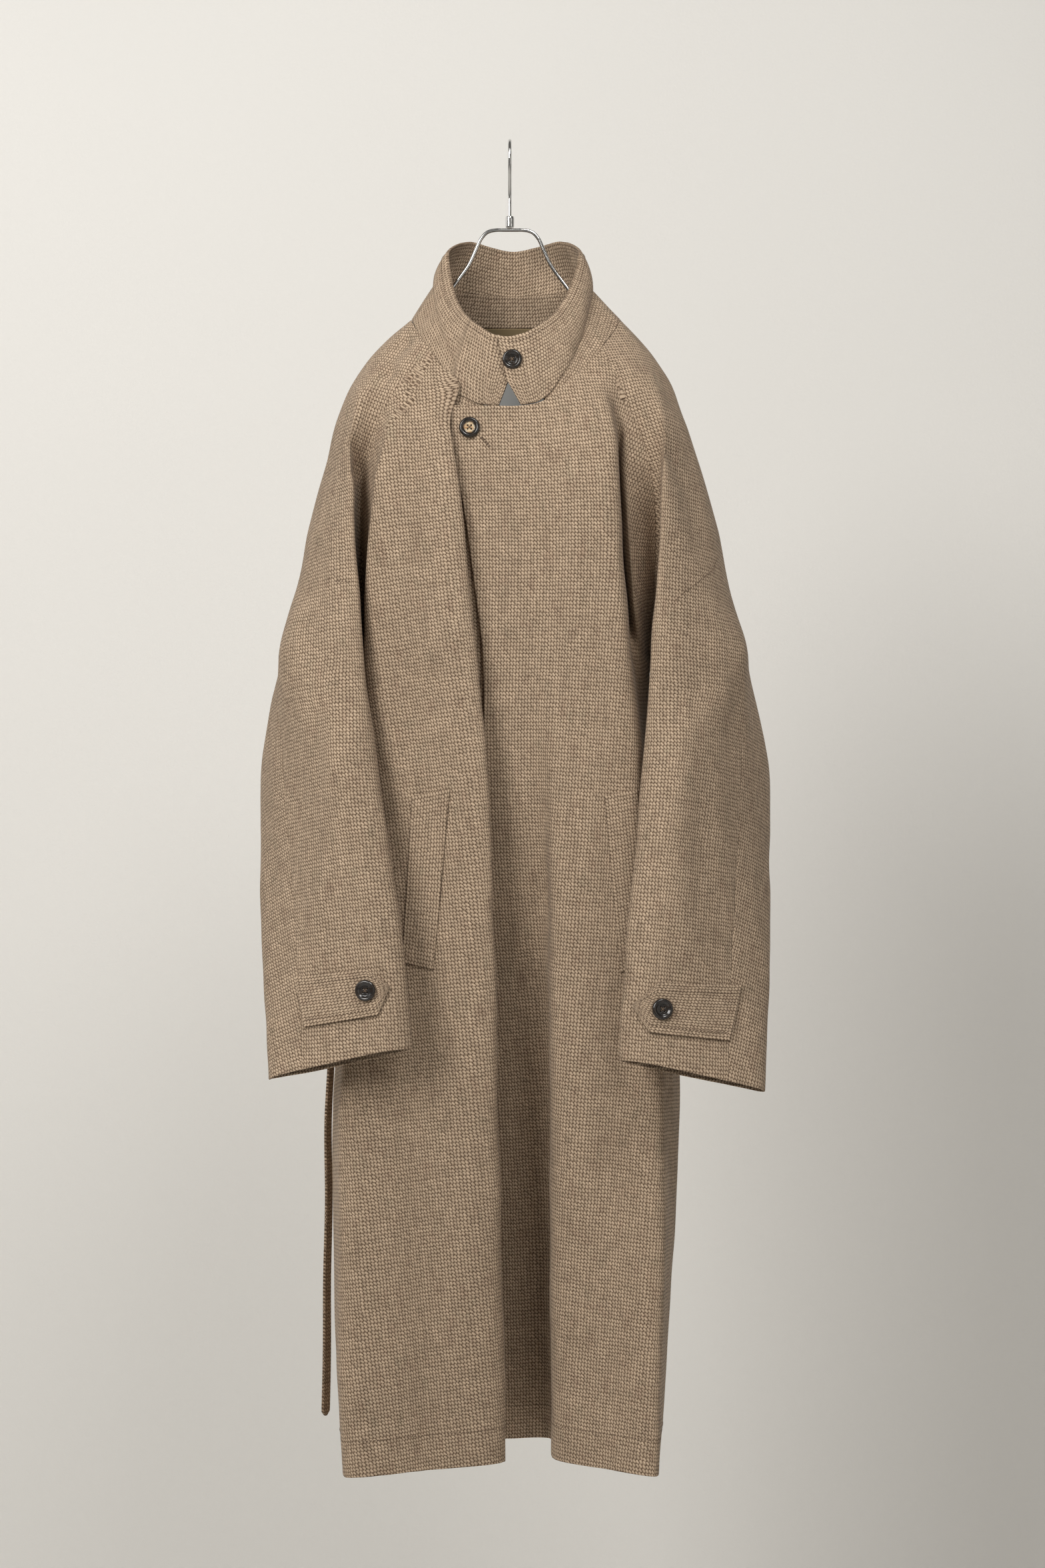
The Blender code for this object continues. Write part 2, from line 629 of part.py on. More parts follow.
def surface_of(*names):
    """A search tree over the triangles of some pieces, in metres."""
    vertices, faces = [], []
    for name in names:
        mesh = bpy.data.objects[name].data
        mesh.calc_loop_triangles()
        start = len(vertices)
        vertices += [v.co.copy() for v in mesh.vertices]
        faces += [[start + i for i in t.vertices] for t in mesh.loop_triangles]
    return BVHTree.FromPolygons(vertices, faces)


def seen_from_front(tree, x, z):
    """Where a level line from the front meets the cloth, and the cloth's normal there."""
    hit, normal, _, _ = tree.ray_cast(Vector((x * MM, -1.0, z * MM)), Vector((0, 1, 0)))
    if normal.y > 0:
        normal = -normal
    return np.array(hit) / MM, np.array(normal)


def laid_on(name, tree, top, bottom, wall, gap, along, across):
    """A flat piece laid on the cloth between a top and a bottom line of (x, z) corners."""
    def line(corners):
        corners = np.array(corners, dtype=float)
        reach = np.concatenate([[0], np.cumsum(np.linalg.norm(np.diff(corners, axis=0), axis=1))])
        spots = np.unique(np.concatenate([np.linspace(0, 1, along + 1), reach[1:-1] / reach[-1]]))
        return spots, lambda s: np.stack([np.interp(s * reach[-1], reach, corners[:, i]) for i in (0, 1)], -1)

    spots, top_at = line(top)
    _, bottom_at = line(bottom)
    high, low = top_at(spots), bottom_at(spots)
    flat = np.array([between(high, low, share) for share in np.linspace(0, 1, across + 1)])
    hits = [[seen_from_front(tree, x, z) for x, z in row] for row in flat]
    foot = np.array([[hit for hit, _ in row] for row in hits])
    normal = np.array([[n for _, n in row] for row in hits])
    for _ in range(2):
        normal[1:-1, 1:-1] = (normal[:-2, 1:-1] + normal[2:, 1:-1] + normal[1:-1, :-2] + normal[1:-1, 2:]) / 4
    normal /= np.linalg.norm(normal, axis=-1, keepdims=True)
    inner = foot + normal * gap
    outer = inner + normal * wall
    if flat[0, 0, 0] > flat[0, -1, 0]:
        outer, inner = outer[:, ::-1], inner[:, ::-1]
    return closed_wall(name, outer, inner)


def make_welts():
    """The slanted welts of the two pockets."""
    laid_on("welt_right", surface_of("front_right"), [(-102, -710), (-62, -702)],
            [(-113, -884), (-80, -892)], WELT_WALL, LIE_GAP, along=3, across=10)
    laid_on("welt_left", surface_of("front_left"), [(100, -709), (134, -703)],
            [(117, -895), (146, -887)], WELT_WALL, LIE_GAP, along=3, across=10)


def make_cuff_tabs():
    """Pointed tabs caught in the outer seam of each sleeve."""
    laid_on("cuff_tab_right", surface_of("sleeve_front_right", "sleeve_back_right"),
            [(-221, -898), (-146, -887), (-123, -905)], [(-211, -949), (-134, -934), (-123.5, -907)],
            TAB_WALL, TAB_GAP, along=12, across=4)
    laid_on("cuff_tab_left", surface_of("sleeve_front_left", "sleeve_back_left"),
            [(241, -907), (153, -901), (128, -924)], [(227, -963), (144, -952), (128.5, -926)],
            TAB_WALL, TAB_GAP, along=12, across=4)


def turned(name, profile, finish, segments):
    """A solid of revolution about Z from (radius, height) points that run top to bottom."""
    mesh = bpy.data.meshes.new(name)
    edges = [(i, i + 1) for i in range(len(profile) - 1)]
    mesh.from_pydata([(r * MM, 0.0, z * MM) for r, z in profile], edges, [])
    made = place(name, mesh, finish)
    screw = made.modifiers.new("turn", "SCREW")
    screw.steps = screw.render_steps = segments
    screw.use_merge_vertices = True
    screw.merge_threshold = 0.00001
    screw.use_smooth_shade = True
    return made


def make_button(name, tree, x, z, size):
    """A dished horn button with a thick rim, lying on the cloth."""
    radius, height = size / 2, BUTTON_HEIGHT
    profile = [(0, height * 0.55), (radius * 0.45, height * 0.6), (radius * 0.62, height * 0.92),
               (radius * 0.82, height), (radius * 0.97, height * 0.7), (radius, height * 0.45),
               (radius * 0.85, height * 0.12), (radius * 0.45, 0), (0, 0)]
    button = turned(name, profile, HORN, 20)
    hit, normal = seen_from_front(tree, x, z)
    button.location = Vector(hit + normal * 0.6) * MM
    button.rotation_mode = "QUATERNION"
    button.rotation_quaternion = Vector(normal).to_track_quat("Z", "Y")


def make_buttons():
    """One button at the neck, one on the front and one on each cuff tab."""
    make_button("button_neck", surface_of("collar_leaf"), 3, -249, NECK_BUTTON_SIZE)
    make_button("button_front", surface_of("front_left"), -42, -322, BUTTON_SIZE)
    make_button("button_cuff_right", surface_of("cuff_tab_right"), -147, -909, BUTTON_SIZE)
    make_button("button_cuff_left", surface_of("cuff_tab_left"), 157, -928, BUTTON_SIZE)


def make_tie_strap(sheets):
    """A narrow strap sewn at the wearer's right side seam, which hangs turned edge on."""
    back = sheets["back"]
    seam = [back.count - 1]
    sewn = back.at([STRAP_ROW], seam)[0, 0]
    sewn += back.normals([STRAP_ROW], seam)[0, 0] * (SEAM_GAP + STRAP_WALL / 2)
    route = smooth([sewn, *STRAP_ROUTE], steps(0, len(STRAP_ROUTE), 2))
    turn = np.linspace(0, 1, len(route)) ** 0.5 * math.radians(STRAP_TURN)
    across = point(np.sin(turn), np.cos(turn), 0)[:, None]
    face = point(-np.cos(turn), np.sin(turn), 0)[:, None]
    outer = route[:, None] + across * np.array([0.5, -0.5])[:, None] * STRAP_WIDTH + face * STRAP_WALL / 2
    closed_wall("tie_strap", outer, outer - face * STRAP_WALL)


def wire(name, points, diameter, sides=2):
    """A round wire along a list of points."""
    curve = bpy.data.curves.new(name, "CURVE")
    curve.dimensions = "3D"
    curve.bevel_depth = diameter * MM / 2
    curve.bevel_resolution = sides
    curve.use_fill_caps = True
    spline = curve.splines.new("POLY")
    spline.points.add(len(points) - 1)
    for spot, (x, y, z) in zip(spline.points, points):
        spot.co = (x * MM, y * MM, z * MM, 1.0)
    spline.use_smooth = True
    return place(name, curve, CHROME)


def make_hanger(sheets):
    """The hook, the ferrule below it and the bow, whose arms lie under the shoulders."""
    centre = WIRE / 2 - HOOK_RADIUS
    arc = [(0, -HOOK_RADIUS * math.cos(a), centre + HOOK_RADIUS * math.sin(a))
           for a in np.radians(np.arange(-10, 206, 9))]
    stem = smooth([(0, 0, -84.0), (0, 0, -70), (0, -0.5, -58), (0, -8, -44), (0, -16.5, -32), arc[0]],
                  steps(0, 5, 3))
    wire("hanger_hook", [tuple(p) for p in stem[:-1]] + arc, WIRE)
    profile = [(0, -84.4), (2.2, -84.4), (2.2, -80), (3.6, -80), (4.6, -82), (4.6, -90),
               (3.6, -92.4), (0, -92.4)]
    turned("hanger_ferrule", profile, CHROME, 20)
    half = np.array(BOW, dtype=float)
    arms = {}
    for side in ("left", "right"):
        sheet = sheets["sleeve_front_" + side]
        rows, ridge = ARM_ROWS, [sheet.count - 1]
        below = WALL + BOW_PLAY + BOW_WIRE / 2
        arm = sheet.at(rows, ridge)[:, 0] - sheet.normals(rows, ridge)[:, 0] * below
        arms[side] = np.concatenate([half * (SIGN[side], 1, 1), arm])
    route = np.concatenate([arms["right"][::-1], arms["left"]])
    wire("hanger_bow", [tuple(p) for p in smooth(route, steps(0, len(route) - 1, 2))], BOW_WIRE)


def clear_scene():
    """Removes the start-up objects and makes the coat's collection."""
    for old in list(bpy.data.objects):
        bpy.data.objects.remove(old, do_unlink=True)
    bpy.context.scene.collection.children.link(bpy.data.collections.new(COLLECTION))


def main():
    """Builds every piece of the coat and its hanger."""
    clear_scene()
    sheets = all_sheets()
    make_body_and_sleeves(sheets)
    make_back_insides(sheets)
    make_collar(sheets)
    make_welts()
    make_cuff_tabs()
    make_buttons()
    make_tie_strap(sheets)
    make_hanger(sheets)


main()
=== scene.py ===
"""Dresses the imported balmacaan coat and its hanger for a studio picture.

Lengths inside the shape functions are millimetres, as in the coat's own tables, and
become metres when a mesh is made. Row and column numbers of a sheet are positions
between the tracks that its surface runs through.
"""
import json
import math

import bpy
import numpy as np
from bpy.props import FloatProperty, FloatVectorProperty, PointerProperty
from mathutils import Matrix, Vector

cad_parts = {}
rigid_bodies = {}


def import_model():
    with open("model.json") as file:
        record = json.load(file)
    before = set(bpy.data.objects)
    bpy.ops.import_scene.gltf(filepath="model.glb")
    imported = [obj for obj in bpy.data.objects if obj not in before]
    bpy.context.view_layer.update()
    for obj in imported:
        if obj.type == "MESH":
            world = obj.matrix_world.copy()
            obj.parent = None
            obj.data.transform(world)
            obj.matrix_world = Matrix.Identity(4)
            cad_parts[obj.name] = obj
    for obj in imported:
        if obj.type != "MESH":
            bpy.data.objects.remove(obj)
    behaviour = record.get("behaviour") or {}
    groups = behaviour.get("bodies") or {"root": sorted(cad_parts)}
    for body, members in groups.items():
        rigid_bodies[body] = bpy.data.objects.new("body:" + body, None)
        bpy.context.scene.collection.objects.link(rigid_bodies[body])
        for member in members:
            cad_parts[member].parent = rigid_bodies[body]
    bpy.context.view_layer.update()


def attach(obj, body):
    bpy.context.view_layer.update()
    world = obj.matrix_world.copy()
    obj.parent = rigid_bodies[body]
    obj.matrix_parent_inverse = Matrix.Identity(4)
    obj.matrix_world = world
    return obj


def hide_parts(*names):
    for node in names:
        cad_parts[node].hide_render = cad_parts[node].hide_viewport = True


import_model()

bl_info = {
    "name": "Balmacaan Coat",
    "version": (1, 0, 0),
    "blender": (4, 5, 0),
    "location": "View3D > Sidebar > Coat",
    "description": "Builds the cloth, trimmings, hanger and studio of a hanging balmacaan coat",
    "category": "Object",
}

MM = 0.001

# Cloth walls and the play between pieces; below zero they overlap inside a seam
WALL = 2.2
COLLAR_WALL = 3.4
TAB_WALL = 3.2
WELT_WALL = 2.4
LINING_WALL = 1.0
SEAM_PLAY = -0.3
STAND_GAP = -0.5
RIM_STEPS = (0.28, 0.95, 2.0)
RIM_SHARES = (0.22, 0.72, 0.95, 1.0)

# Steps between two rows or two stations of the tables
ROW_STEPS = 16
COLUMN_STEPS = 9

# Hanger
WIRE = 3.6
BOW_WIRE = 4.0
HOOK_RADIUS = 20.5
BOW = ((6, 0, -94.8), (14, 0, -94.8), (24, 0, -97), (31, 0, -104), (37, 0, -117), (44, 0, -132),
       (56, 0, -149), (74, -2, -172), (92, -5, -192))
BOW_PLAY = 0.9
ARM_ROWS = (0.5, 1.0, 1.5, 2.0, 2.5)

# Buttons and tie strap
BUTTON_SIZE = 22.0
NECK_BUTTON_SIZE = 21.0
BUTTON_HEIGHT = 4.2
STRAP_WIDTH = 13.0
STRAP_WALL = 3.0
STRAP_ROW = 9.1
STRAP_ROUTE = ((-182, 14, -850), (-195, 18, -930), (-198, 20, -1030), (-199, 20, -1150),
               (-200, 20, -1270), (-202, 20, -1389))
STRAP_TURN = 33.0

CLOTH_MAP = "cloth"
LAID_PLAY = 0.25
INSIDE_GAP = 0.5
# Trimmings in the front view: welts and tabs by their top and bottom lines, buttons by
# place, size, the cloth below and whether the dish is amber
WELTS = {
    "welt_right": ([(-102, -710), (-62, -702)], [(-113, -884), (-80, -892)]),
    "welt_left": ([(100, -709), (134, -703)], [(117, -895), (146, -887)]),
}
TABS = {
    "cuff_tab_right": ([(-221, -898), (-146, -887), (-123, -905)],
                       [(-211, -949), (-134, -934), (-123.5, -907)]),
    "cuff_tab_left": ([(241, -907), (153, -901), (128, -924)],
                      [(227, -963), (144, -952), (128.5, -926)]),
}
BUTTONS = {
    "button_neck": (3, -249, NECK_BUTTON_SIZE, "cloth_collar_leaf", False),
    "button_front": (-42, -322, BUTTON_SIZE, "cloth_front_left", True),
    "button_cuff_right": (-147, -909, BUTTON_SIZE, "cloth_cuff_tab_right", False),
    "button_cuff_left": (157, -928, BUTTON_SIZE, "cloth_cuff_tab_left", False),
}
# A button's section in shares of its radius and height: its rings, the face above them
# and the rings of its underside. Its holes are dents, and pairs of them hold a thread.
BUTTON_RINGS = (*np.linspace(0, 0.4, 11), 0.45, 0.5, 0.55, 0.6, 0.65, 0.7, 0.76, 0.82, 0.88, 0.93,
                0.97, 0.99, 1.0)
BUTTON_FACE = ((0, 0.5, 0.6, 0.72, 0.82, 0.92, 0.97, 1), (0.55, 0.56, 0.72, 0.95, 1.0, 0.88, 0.7, 0.45))
BUTTON_UNDER = ((0.98, 0.92, 0.7, 0.3, 0.02), (0.25, 0.12, 0.04, 0.0, 0.0))
BUTTON_SIDES = 72
HOLES = ((-1.9, 1.9), (1.9, 1.9), (-1.9, -1.9), (1.9, -1.9))
HOLE_SIZE, HOLE_DEPTH = 0.85, 1.9
THREAD_PAIRS = ((0, 3), (1, 2))
THREAD_RADIUS = 0.22
# Sewn lines: how far in from the edge, or where in the front view, in millimetres
RIM_STITCH = 6.5
HEM_STITCH = 38.0
TAB_STITCH = (0.15, 0.92)
DARTS = {
    "left": [(222, -454), (217, -469), (199, -484), (181, -498), (174, -505)],
    "right": [(-184, -484), (-172, -485), (-161, -485.5)],
}
BUTTONHOLE = [(-30, -331.5), (-20.5, -343)]
BUTTONHOLE_LINES = ((0.75, 0.6), (-0.75, -0.6), (0, 0))

# Studio, in metres: the camera, the wall's half width, top and bend, the sky, and the soft
# lights by place, target, size and colour
CAMERA_PLACE = (0.0138, -2.8, -0.6972)
WALL_REACH, WALL_TOP, WALL_BEND = 4.5, 2.2, 0.4
SKY_COLOUR = (1.0, 0.965, 0.91, 1.0)
SKY_STRENGTH = 0.13
LIGHTS = {
    "key": ((-1.9, -2.7, 0.9), (0.0, 0.0, -0.75), (1.3, 1.8), (1.0, 0.985, 0.955)),
    "top": ((0.5, -1.5, 1.1), (0.05, 0.0, -0.3), (0.7, 0.7), (1.0, 0.985, 0.96)),
    "fill": ((2.6, -2.6, -0.4), (0.0, 0.0, -0.8), (2.4, 2.4), (1.0, 0.97, 0.92)),
    "glow": ((-2.1, 0.1, 0.5), (-0.9, 1.1, -0.2), (0.8, 1.6), (1.0, 0.99, 0.98)),
}


def table(names, *rows):
    """Rows of numbers as one array for each named column."""
    values = np.array(rows, dtype=float)
    return {name: values[:, i] for i, name in enumerate(names.split())}


# Heights of each ring at the centre front, over the shoulder and at the centre back,
# the depth of the back, how far its soft folds stand out, and the middle plane in depth
# of the body and of the sleeves.
# The first eight rings run from the neckline to the underarm, the others down to the hem.
LEVELS = table(
    "front side back back_y fold middle arm",
    (-298, -194, -190, 66, 0, -8, -8),
    (-330, -219, -216, 75, 0, -5, -5),
    (-365, -255, -253, 86, 1, -1, -2),
    (-400, -303, -300, 94, 2, 2, -2),
    (-432, -360, -356, 99, 4, 4, -4),
    (-470, -420, -416, 103, 6, 5, -8),
    (-515, -488, -485, 105, 8, 5, -13),
    (-560, -560, -560, 106, 9, 5, -20),
    (-660, -660, -660, 107, 10, 5, 0),
    (-780, -780, -780, 108, 11, 5, 0),
    (-900, -900, -900, 109, 12, 5, 0),
    (-1020, -1020, -1020, 110, 13, 5, 0),
    (-1150, -1150, -1150, 111, 14, 5, 0),
    (-1290, -1290, -1290, 112, 15, 5, 0),
    (-1420, -1424, -1424, 113, 16, 5, 0),
)
UNDERARM = 7

# Centre front on each ring: the edge of the lapping front, the floor of the long recess,
# the fold at its left, the fold of the other front that covers the edge, and its return.
FRONT = table(
    "flap_x flap_y floor_x floor_y crest_x crest_y lap_x lap_y turn_x turn_y",
    (-62, -88, 12, -87, 35, -85, -70, -86, -73, -82),
    (-61, -90, 14, -91, 40, -91, -62, -96, -68, -86),
    (-55, -92, 18, -93, 45, -95, -57, -102, -62, -87),
    (-49, -92, 20, -94, 48, -97, -53, -106, -57, -87),
    (-44, -92, 22, -94, 50, -98, -49, -109, -52, -87),
    (-39, -91, 25, -93, 50, -98, -45, -111, -48, -86),
    (-33, -90, 28, -92, 50, -98, -41, -112, -43, -85),
    (-28, -88, 30, -90, 50, -97, -36, -112, -38, -82),
    (-27, -80, 34, -82, 50, -94, -25, -110, -37, -72),
    (-30, -62, 38, -64, 50, -89, -18, -103, -41, -52),
    (-34, -38, 40, -38, 50, -83, -15, -95, -46, -29),
    (-37, -14, 42, -13, 49, -76, -12, -85, -50, -6),
    (-40, 8, 43, 9, 49, -66, -9, -74, -53, 16),
    (-42, 28, 43, 29, 49, -56, -6, -63, -55, 36),
    (-44, 42, 43, 43, 49, -47, -4, -53, -57, 50),
)
UNDER_EDGE = 32
LAP_PLAY = 6.5

# Armhole side of each ring down to the underarm, measured outwards from the centre:
# the chest's fold, the hollow beside it, the strip, the raglan seam, the sleeve's inner
# side, its front fold and its outermost point.
ARMHOLE = {
    "left": table(
        "chest_x chest_y hollow_x hollow_y strip_x strip_y seam_x seam_y "
        "inner_x inner_y fold_x fold_y outer_x",
        (72, -78, 81, -72, 89, -66, 97, -58, 104, -48, 111, -36, 120),
        (98, -89, 103, -82, 108, -76, 113, -71, 124, -62, 135, -49, 144),
        (110, -97, 114, -74, 120, -75, 127, -74, 141, -74, 153, -66, 171),
        (112, -99, 115, -54, 122, -76, 144, -72, 155, -76, 163, -84, 189),
        (114, -99, 117, -42, 124, -77, 154, -60, 160, -70, 162, -94, 208),
        (116, -99, 120, -34, 127, -74, 157, -40, 162, -60, 159, -102, 224),
        (121, -98, 125, -32, 132, -66, 155, -18, 162, -50, 155, -108, 237),
        (126, -96, 132, -46, 140, -40, 152, 5, 161, -42, 150, -113, 254),
    ),
    "right": table(
        "chest_x chest_y hollow_x hollow_y strip_x strip_y seam_x seam_y "
        "inner_x inner_y fold_x fold_y outer_x",
        (63, -78, 72, -74, 79, -70, 85, -65, 92, -56, 98, -42, 107),
        (93, -87, 97, -85, 101, -81, 105, -77, 114, -67, 124, -52, 137),
        (122, -95, 124, -91, 126, -86, 130, -81, 141, -77, 152, -70, 165),
        (135, -98, 137, -89, 141, -79, 147, -70, 158, -76, 167, -86, 186),
        (141, -97, 143, -84, 150, -68, 159, -50, 165, -68, 166, -95, 203),
        (147, -94, 148, -76, 154, -55, 160, -32, 167, -60, 164, -102, 217),
        (150, -90, 150, -66, 155, -40, 159, -14, 167, -52, 160, -108, 230),
        (149, -86, 151, -58, 154, -27, 158, 5, 168, -45, 156, -113, 245),
    ),
}

# Body below the underarm: the front corner of each side and the side seam
BODY = {
    "left": table(
        "chest_x chest_y side_x",
        (136, -88, 152),
        (142, -88, 162),
        (156, -94, 178),
        (157, -100, 184),
        (160, -100, 180),
        (158, -100, 171),
        (155, -100, 163),
    ),
    "right": table(
        "chest_x chest_y side_x",
        (140, -84, 153),
        (139, -84, 162),
        (160, -94, 180),
        (172, -100, 190),
        (175, -102, 191),
        (175, -104, 188),
        (172, -105, 181),
    ),
}

# Sleeves below the underarm: the middle and half sizes of each flattened ring, how far
# it is turned towards the front, where the outer seam lies, and the slope of the ring
SLEEVE = table(
    "z mid_x mid_y long outer inner turn seam tilt pitch",
    (-660, 205, -40, 99, 44, 32, 22, 92, 0.05, 0.05),
    (-760, 201, -66, 95, 38, 28, 36, 96, 0.08, 0.10),
    (-860, 194, -98, 88, 30, 23, 53, 102, 0.12, 0.15),
    (-940, 187, -124, 82, 23, 18, 70, 108, 0.16, 0.20),
    (-987, 183, -138, 79, 19, 15, 80, 112, 0.19, 0.25),
)
SLEEVE_CENTRE = 6.5
# How far each cuff drops, and each sleeve's top is turned further and shifted outwards
SLEEVE_DROP = {"left": 12.0, "right": 0.0}
SLEEVE_TURN = {"left": 15.0, "right": 9.0}
SLEEVE_SHIFT = {"left": -3.0, "right": 4.0}
SLEEVE_ANGLES = {"seam": 270, "inner": 308, "fold": 345, "fold_back": 195, "inner_back": 232}
SLEEVE_SQUARE = 0.86

SIGN = {"left": 1.0, "right": -1.0}

# How far each station of a ring hangs from the shoulder's height towards the centre's
FRONT_FALL = {"plane": 0.85, "chest": 0.67, "hollow": 0.58, "strip": 0.48, "seam": 0.38,
              "inner": 0.28, "fold": 0.18, "face": 0.05}
BACK_FALL = {"face": 0.05, "fold": 0.3, "inner": 0.5, "seam": 0.7, "strip": 0.8,
             "hollow": 0.9, "chest": 1.0}
BACK_FOLDS = (0.5, 0.0, -0.5)
# How far a station's mirror plane moves from the body's middle to the sleeve's
ARM_SHARE = {"inner": 0.4, "fold": 1.0}
# How far out each ring's face lies, from the sleeve's fold to its outermost point
FACE_SHARE = np.array([0.8, 0.8, 0.8, 0.8, 0.8, 0.8, 0.83, 0.92])

# Collar by angle round the neck from the centre front: the stand's height and lean,
# the leaf's rim (radius and height) and its outward swell
COLLAR = table(
    "angle stand lean rim_r rim_z swell",
    (0, 0.6, 0.2, 67, -223.5, 2),
    (15, 0.6, 0.2, 67, -219.5, 2.5),
    (27, 2.5, 0.25, 67, -211.5, 3),
    (36, 10, 0.38, 67.5, -204.5, 4),
    (48, 19, 0.5, 68.5, -193, 6),
    (58, 26, 0.55, 69.5, -179, 6),
    (72, 36, 0.55, 71, -154, 5),
    (90, 44, 0.55, 73, -122, 4),
    (107, 43, 0.48, 71.5, -110, 4),
    (120, 41, 0.4, 69.5, -103, 3.5),
    (135, 38, 0.3, 68, -99.5, 3.5),
    (158, 35, 0.22, 67, -103, 3.5),
    (180, 34, 0.2, 67, -106.5, 3.5),
)
NECK_X = 4.0
NECK_Y = -8.0
STAND_START = 24
# How far the stand's front ends reach below the neck edge and behind the leaf, and the
# angle by which the rim's lowest point lies to the wearer's right
STAND_TUCK = (5.0, 2.4)
RIM_TURN = 5.0
LEFT_LEAN = 0.14
# Where the leaf's two ends cross the centre front at the foot, the notch and the rim
LEAF_ENDS = table("height over under", (0, 6, -12), (0.34, -4.5, -4.5), (1, -14, 16))
LEAF_PLAY = 2.6


# Soft folds as lines in the front view: ends, half width, height (a trough is below zero),
# and how much they wander. Piece groups: 0 body front, 1 body back, 2 sleeve front, 3 sleeve back.
FOLDS = table(
    "group x0 z0 x1 z1 width height wander",
    (0, -118, -300, -112, -560, 16, 3.0, 6),
    (0, -92, -290, -84, -520, 13, -2.6, 6),
    (0, 28, -560, 34, -1250, 20, 2.2, 8),
    (0, 78, -420, 84, -1300, 26, 2.0, 10),
    (0, 62, -600, 66, -1350, 15, -1.8, 8),
    (0, 110, -900, 118, -1400, 18, -2.4, 8),
    (0, -120, -930, -122, -1400, 24, 2.4, 8),
    (0, -70, -700, -78, -1400, 20, -1.8, 8),
    (1, -80, -300, -96, -1380, 24, 3.0, 12),
    (1, -20, -260, -30, -1380, 28, -2.6, 12),
    (1, 36, -320, 48, -1380, 24, 2.6, 12),
    (1, 90, -340, 112, -1380, 26, 3.0, 12),
    (2, -186, -330, -232, -760, 16, -2.6, 8),
    (2, -170, -560, -196, -860, 14, 2.2, 8),
    (2, 196, -330, 246, -700, 16, -2.4, 8),
    (2, 172, -540, 190, -880, 15, 2.4, 8),
    (2, -110, -216, -131, -264, 8, -4.0, 2),
    (2, -130, -256, -138, -330, 8, -4.0, 2),
    (2, -168, -296, -164, -372, 7, -3.0, 3),
    (2, -150, -290, -156, -400, 9, 2.5, 3),
    (2, 160, -310, 208, -456, 9, -3.2, 3),
    (2, 182, -300, 226, -440, 9, 2.4, 3),
    (2, -201, -560, -198, -790, 9, -2.0, 4),
    (2, 197, -500, 196, -800, 9, -1.8, 4),
    (2, 224, -560, 232, -900, 10, 1.8, 4),
    (0, 46, -460, 47, -650, 9, -1.8, 3),
    (0, 60, -330, 70, -520, 10, 2.0, 4),
    (0, 126, -900, 130, -1050, 12, -2.5, 4),
    (0, -100, -895, -108, -1060, 12, -2.5, 4),
    (3, -196, -420, -226, -900, 18, 2.6, 8),
    (3, 200, -420, 240, -900, 18, 2.6, 8),
)
GROUPS = {"front_left": 0, "front_right": 0, "back": 1, "sleeve_front_left": 2,
          "sleeve_front_right": 2, "sleeve_back_left": 3, "sleeve_back_right": 3}
# Places where the cloth is drawn aside as a bell over rows and columns: the piece, the
# row, column and reaches of the bell, and how far it is drawn
PULLS = (
    ("front_right", 0.0, 4.5, 0.55, 1.1, (15.0, 5.0, 7.0)),
    ("front_right", 7.7, 7.0, 0.8, 0.9, (-7.0, 1.0, 0.0)),
    ("sleeve_front_right", 7.4, 4.0, 0.35, 1.0, (-3.5, 0.0, 0.0)),
    ("sleeve_back_right", 7.4, 0.0, 0.35, 1.0, (-3.5, 0.0, 0.0)),
    ("sleeve_front_left", 7.45, 4.0, 0.35, 1.0, (3.5, 0.0, 0.0)),
    ("sleeve_back_left", 7.45, 0.0, 0.35, 1.0, (3.5, 0.0, 0.0)),
)
# The row from which down a piece's grain is upright
GRAIN_ROW = 7
COLLAR_WAVES = (0.5, 40, 120)
RIPPLE = (0.9, 70.0, 210.0)
UNEVEN = (0.35, 22.0, 60.0)


def smooth(points, at):
    """Centripetal Catmull-Rom curve through points[i], read at the positions `at`."""
    points = np.asarray(points, dtype=float)
    steps = np.diff(points, axis=0)
    span = np.linalg.norm(steps, axis=-1, keepdims=True) ** 0.5 + 1e-3
    slope = steps / span
    middle = (slope[:-1] * span[1:] + slope[1:] * span[:-1]) / (span[:-1] + span[1:])
    tangent = np.concatenate([slope[:1], middle, slope[-1:]])
    at = np.clip(np.asarray(at, dtype=float), 0, len(points) - 1)
    i = np.minimum(at.astype(int), len(points) - 2)
    f = (at - i).reshape((-1,) + (1,) * (points.ndim - 1))
    start, end, length = points[i], points[i + 1], span[i]
    return ((2 * f**3 - 3 * f**2 + 1) * start + (f**3 - 2 * f**2 + f) * length * tangent[i]
            + (3 * f**2 - 2 * f**3) * end + (f**3 - f**2) * length * tangent[i + 1])


def point(x, y, z):
    """Three arrays or numbers as one array of points."""
    return np.stack(np.broadcast_arrays(x, y, z), axis=-1).astype(float)


def between(a, b, share):
    """The points a part of the way from a to b."""
    return a + (b - a) * share


def fall(side_z, centre_z, share):
    """Height of a station that hangs part of the way to the centre's height."""
    return side_z + (centre_z - side_z) * share


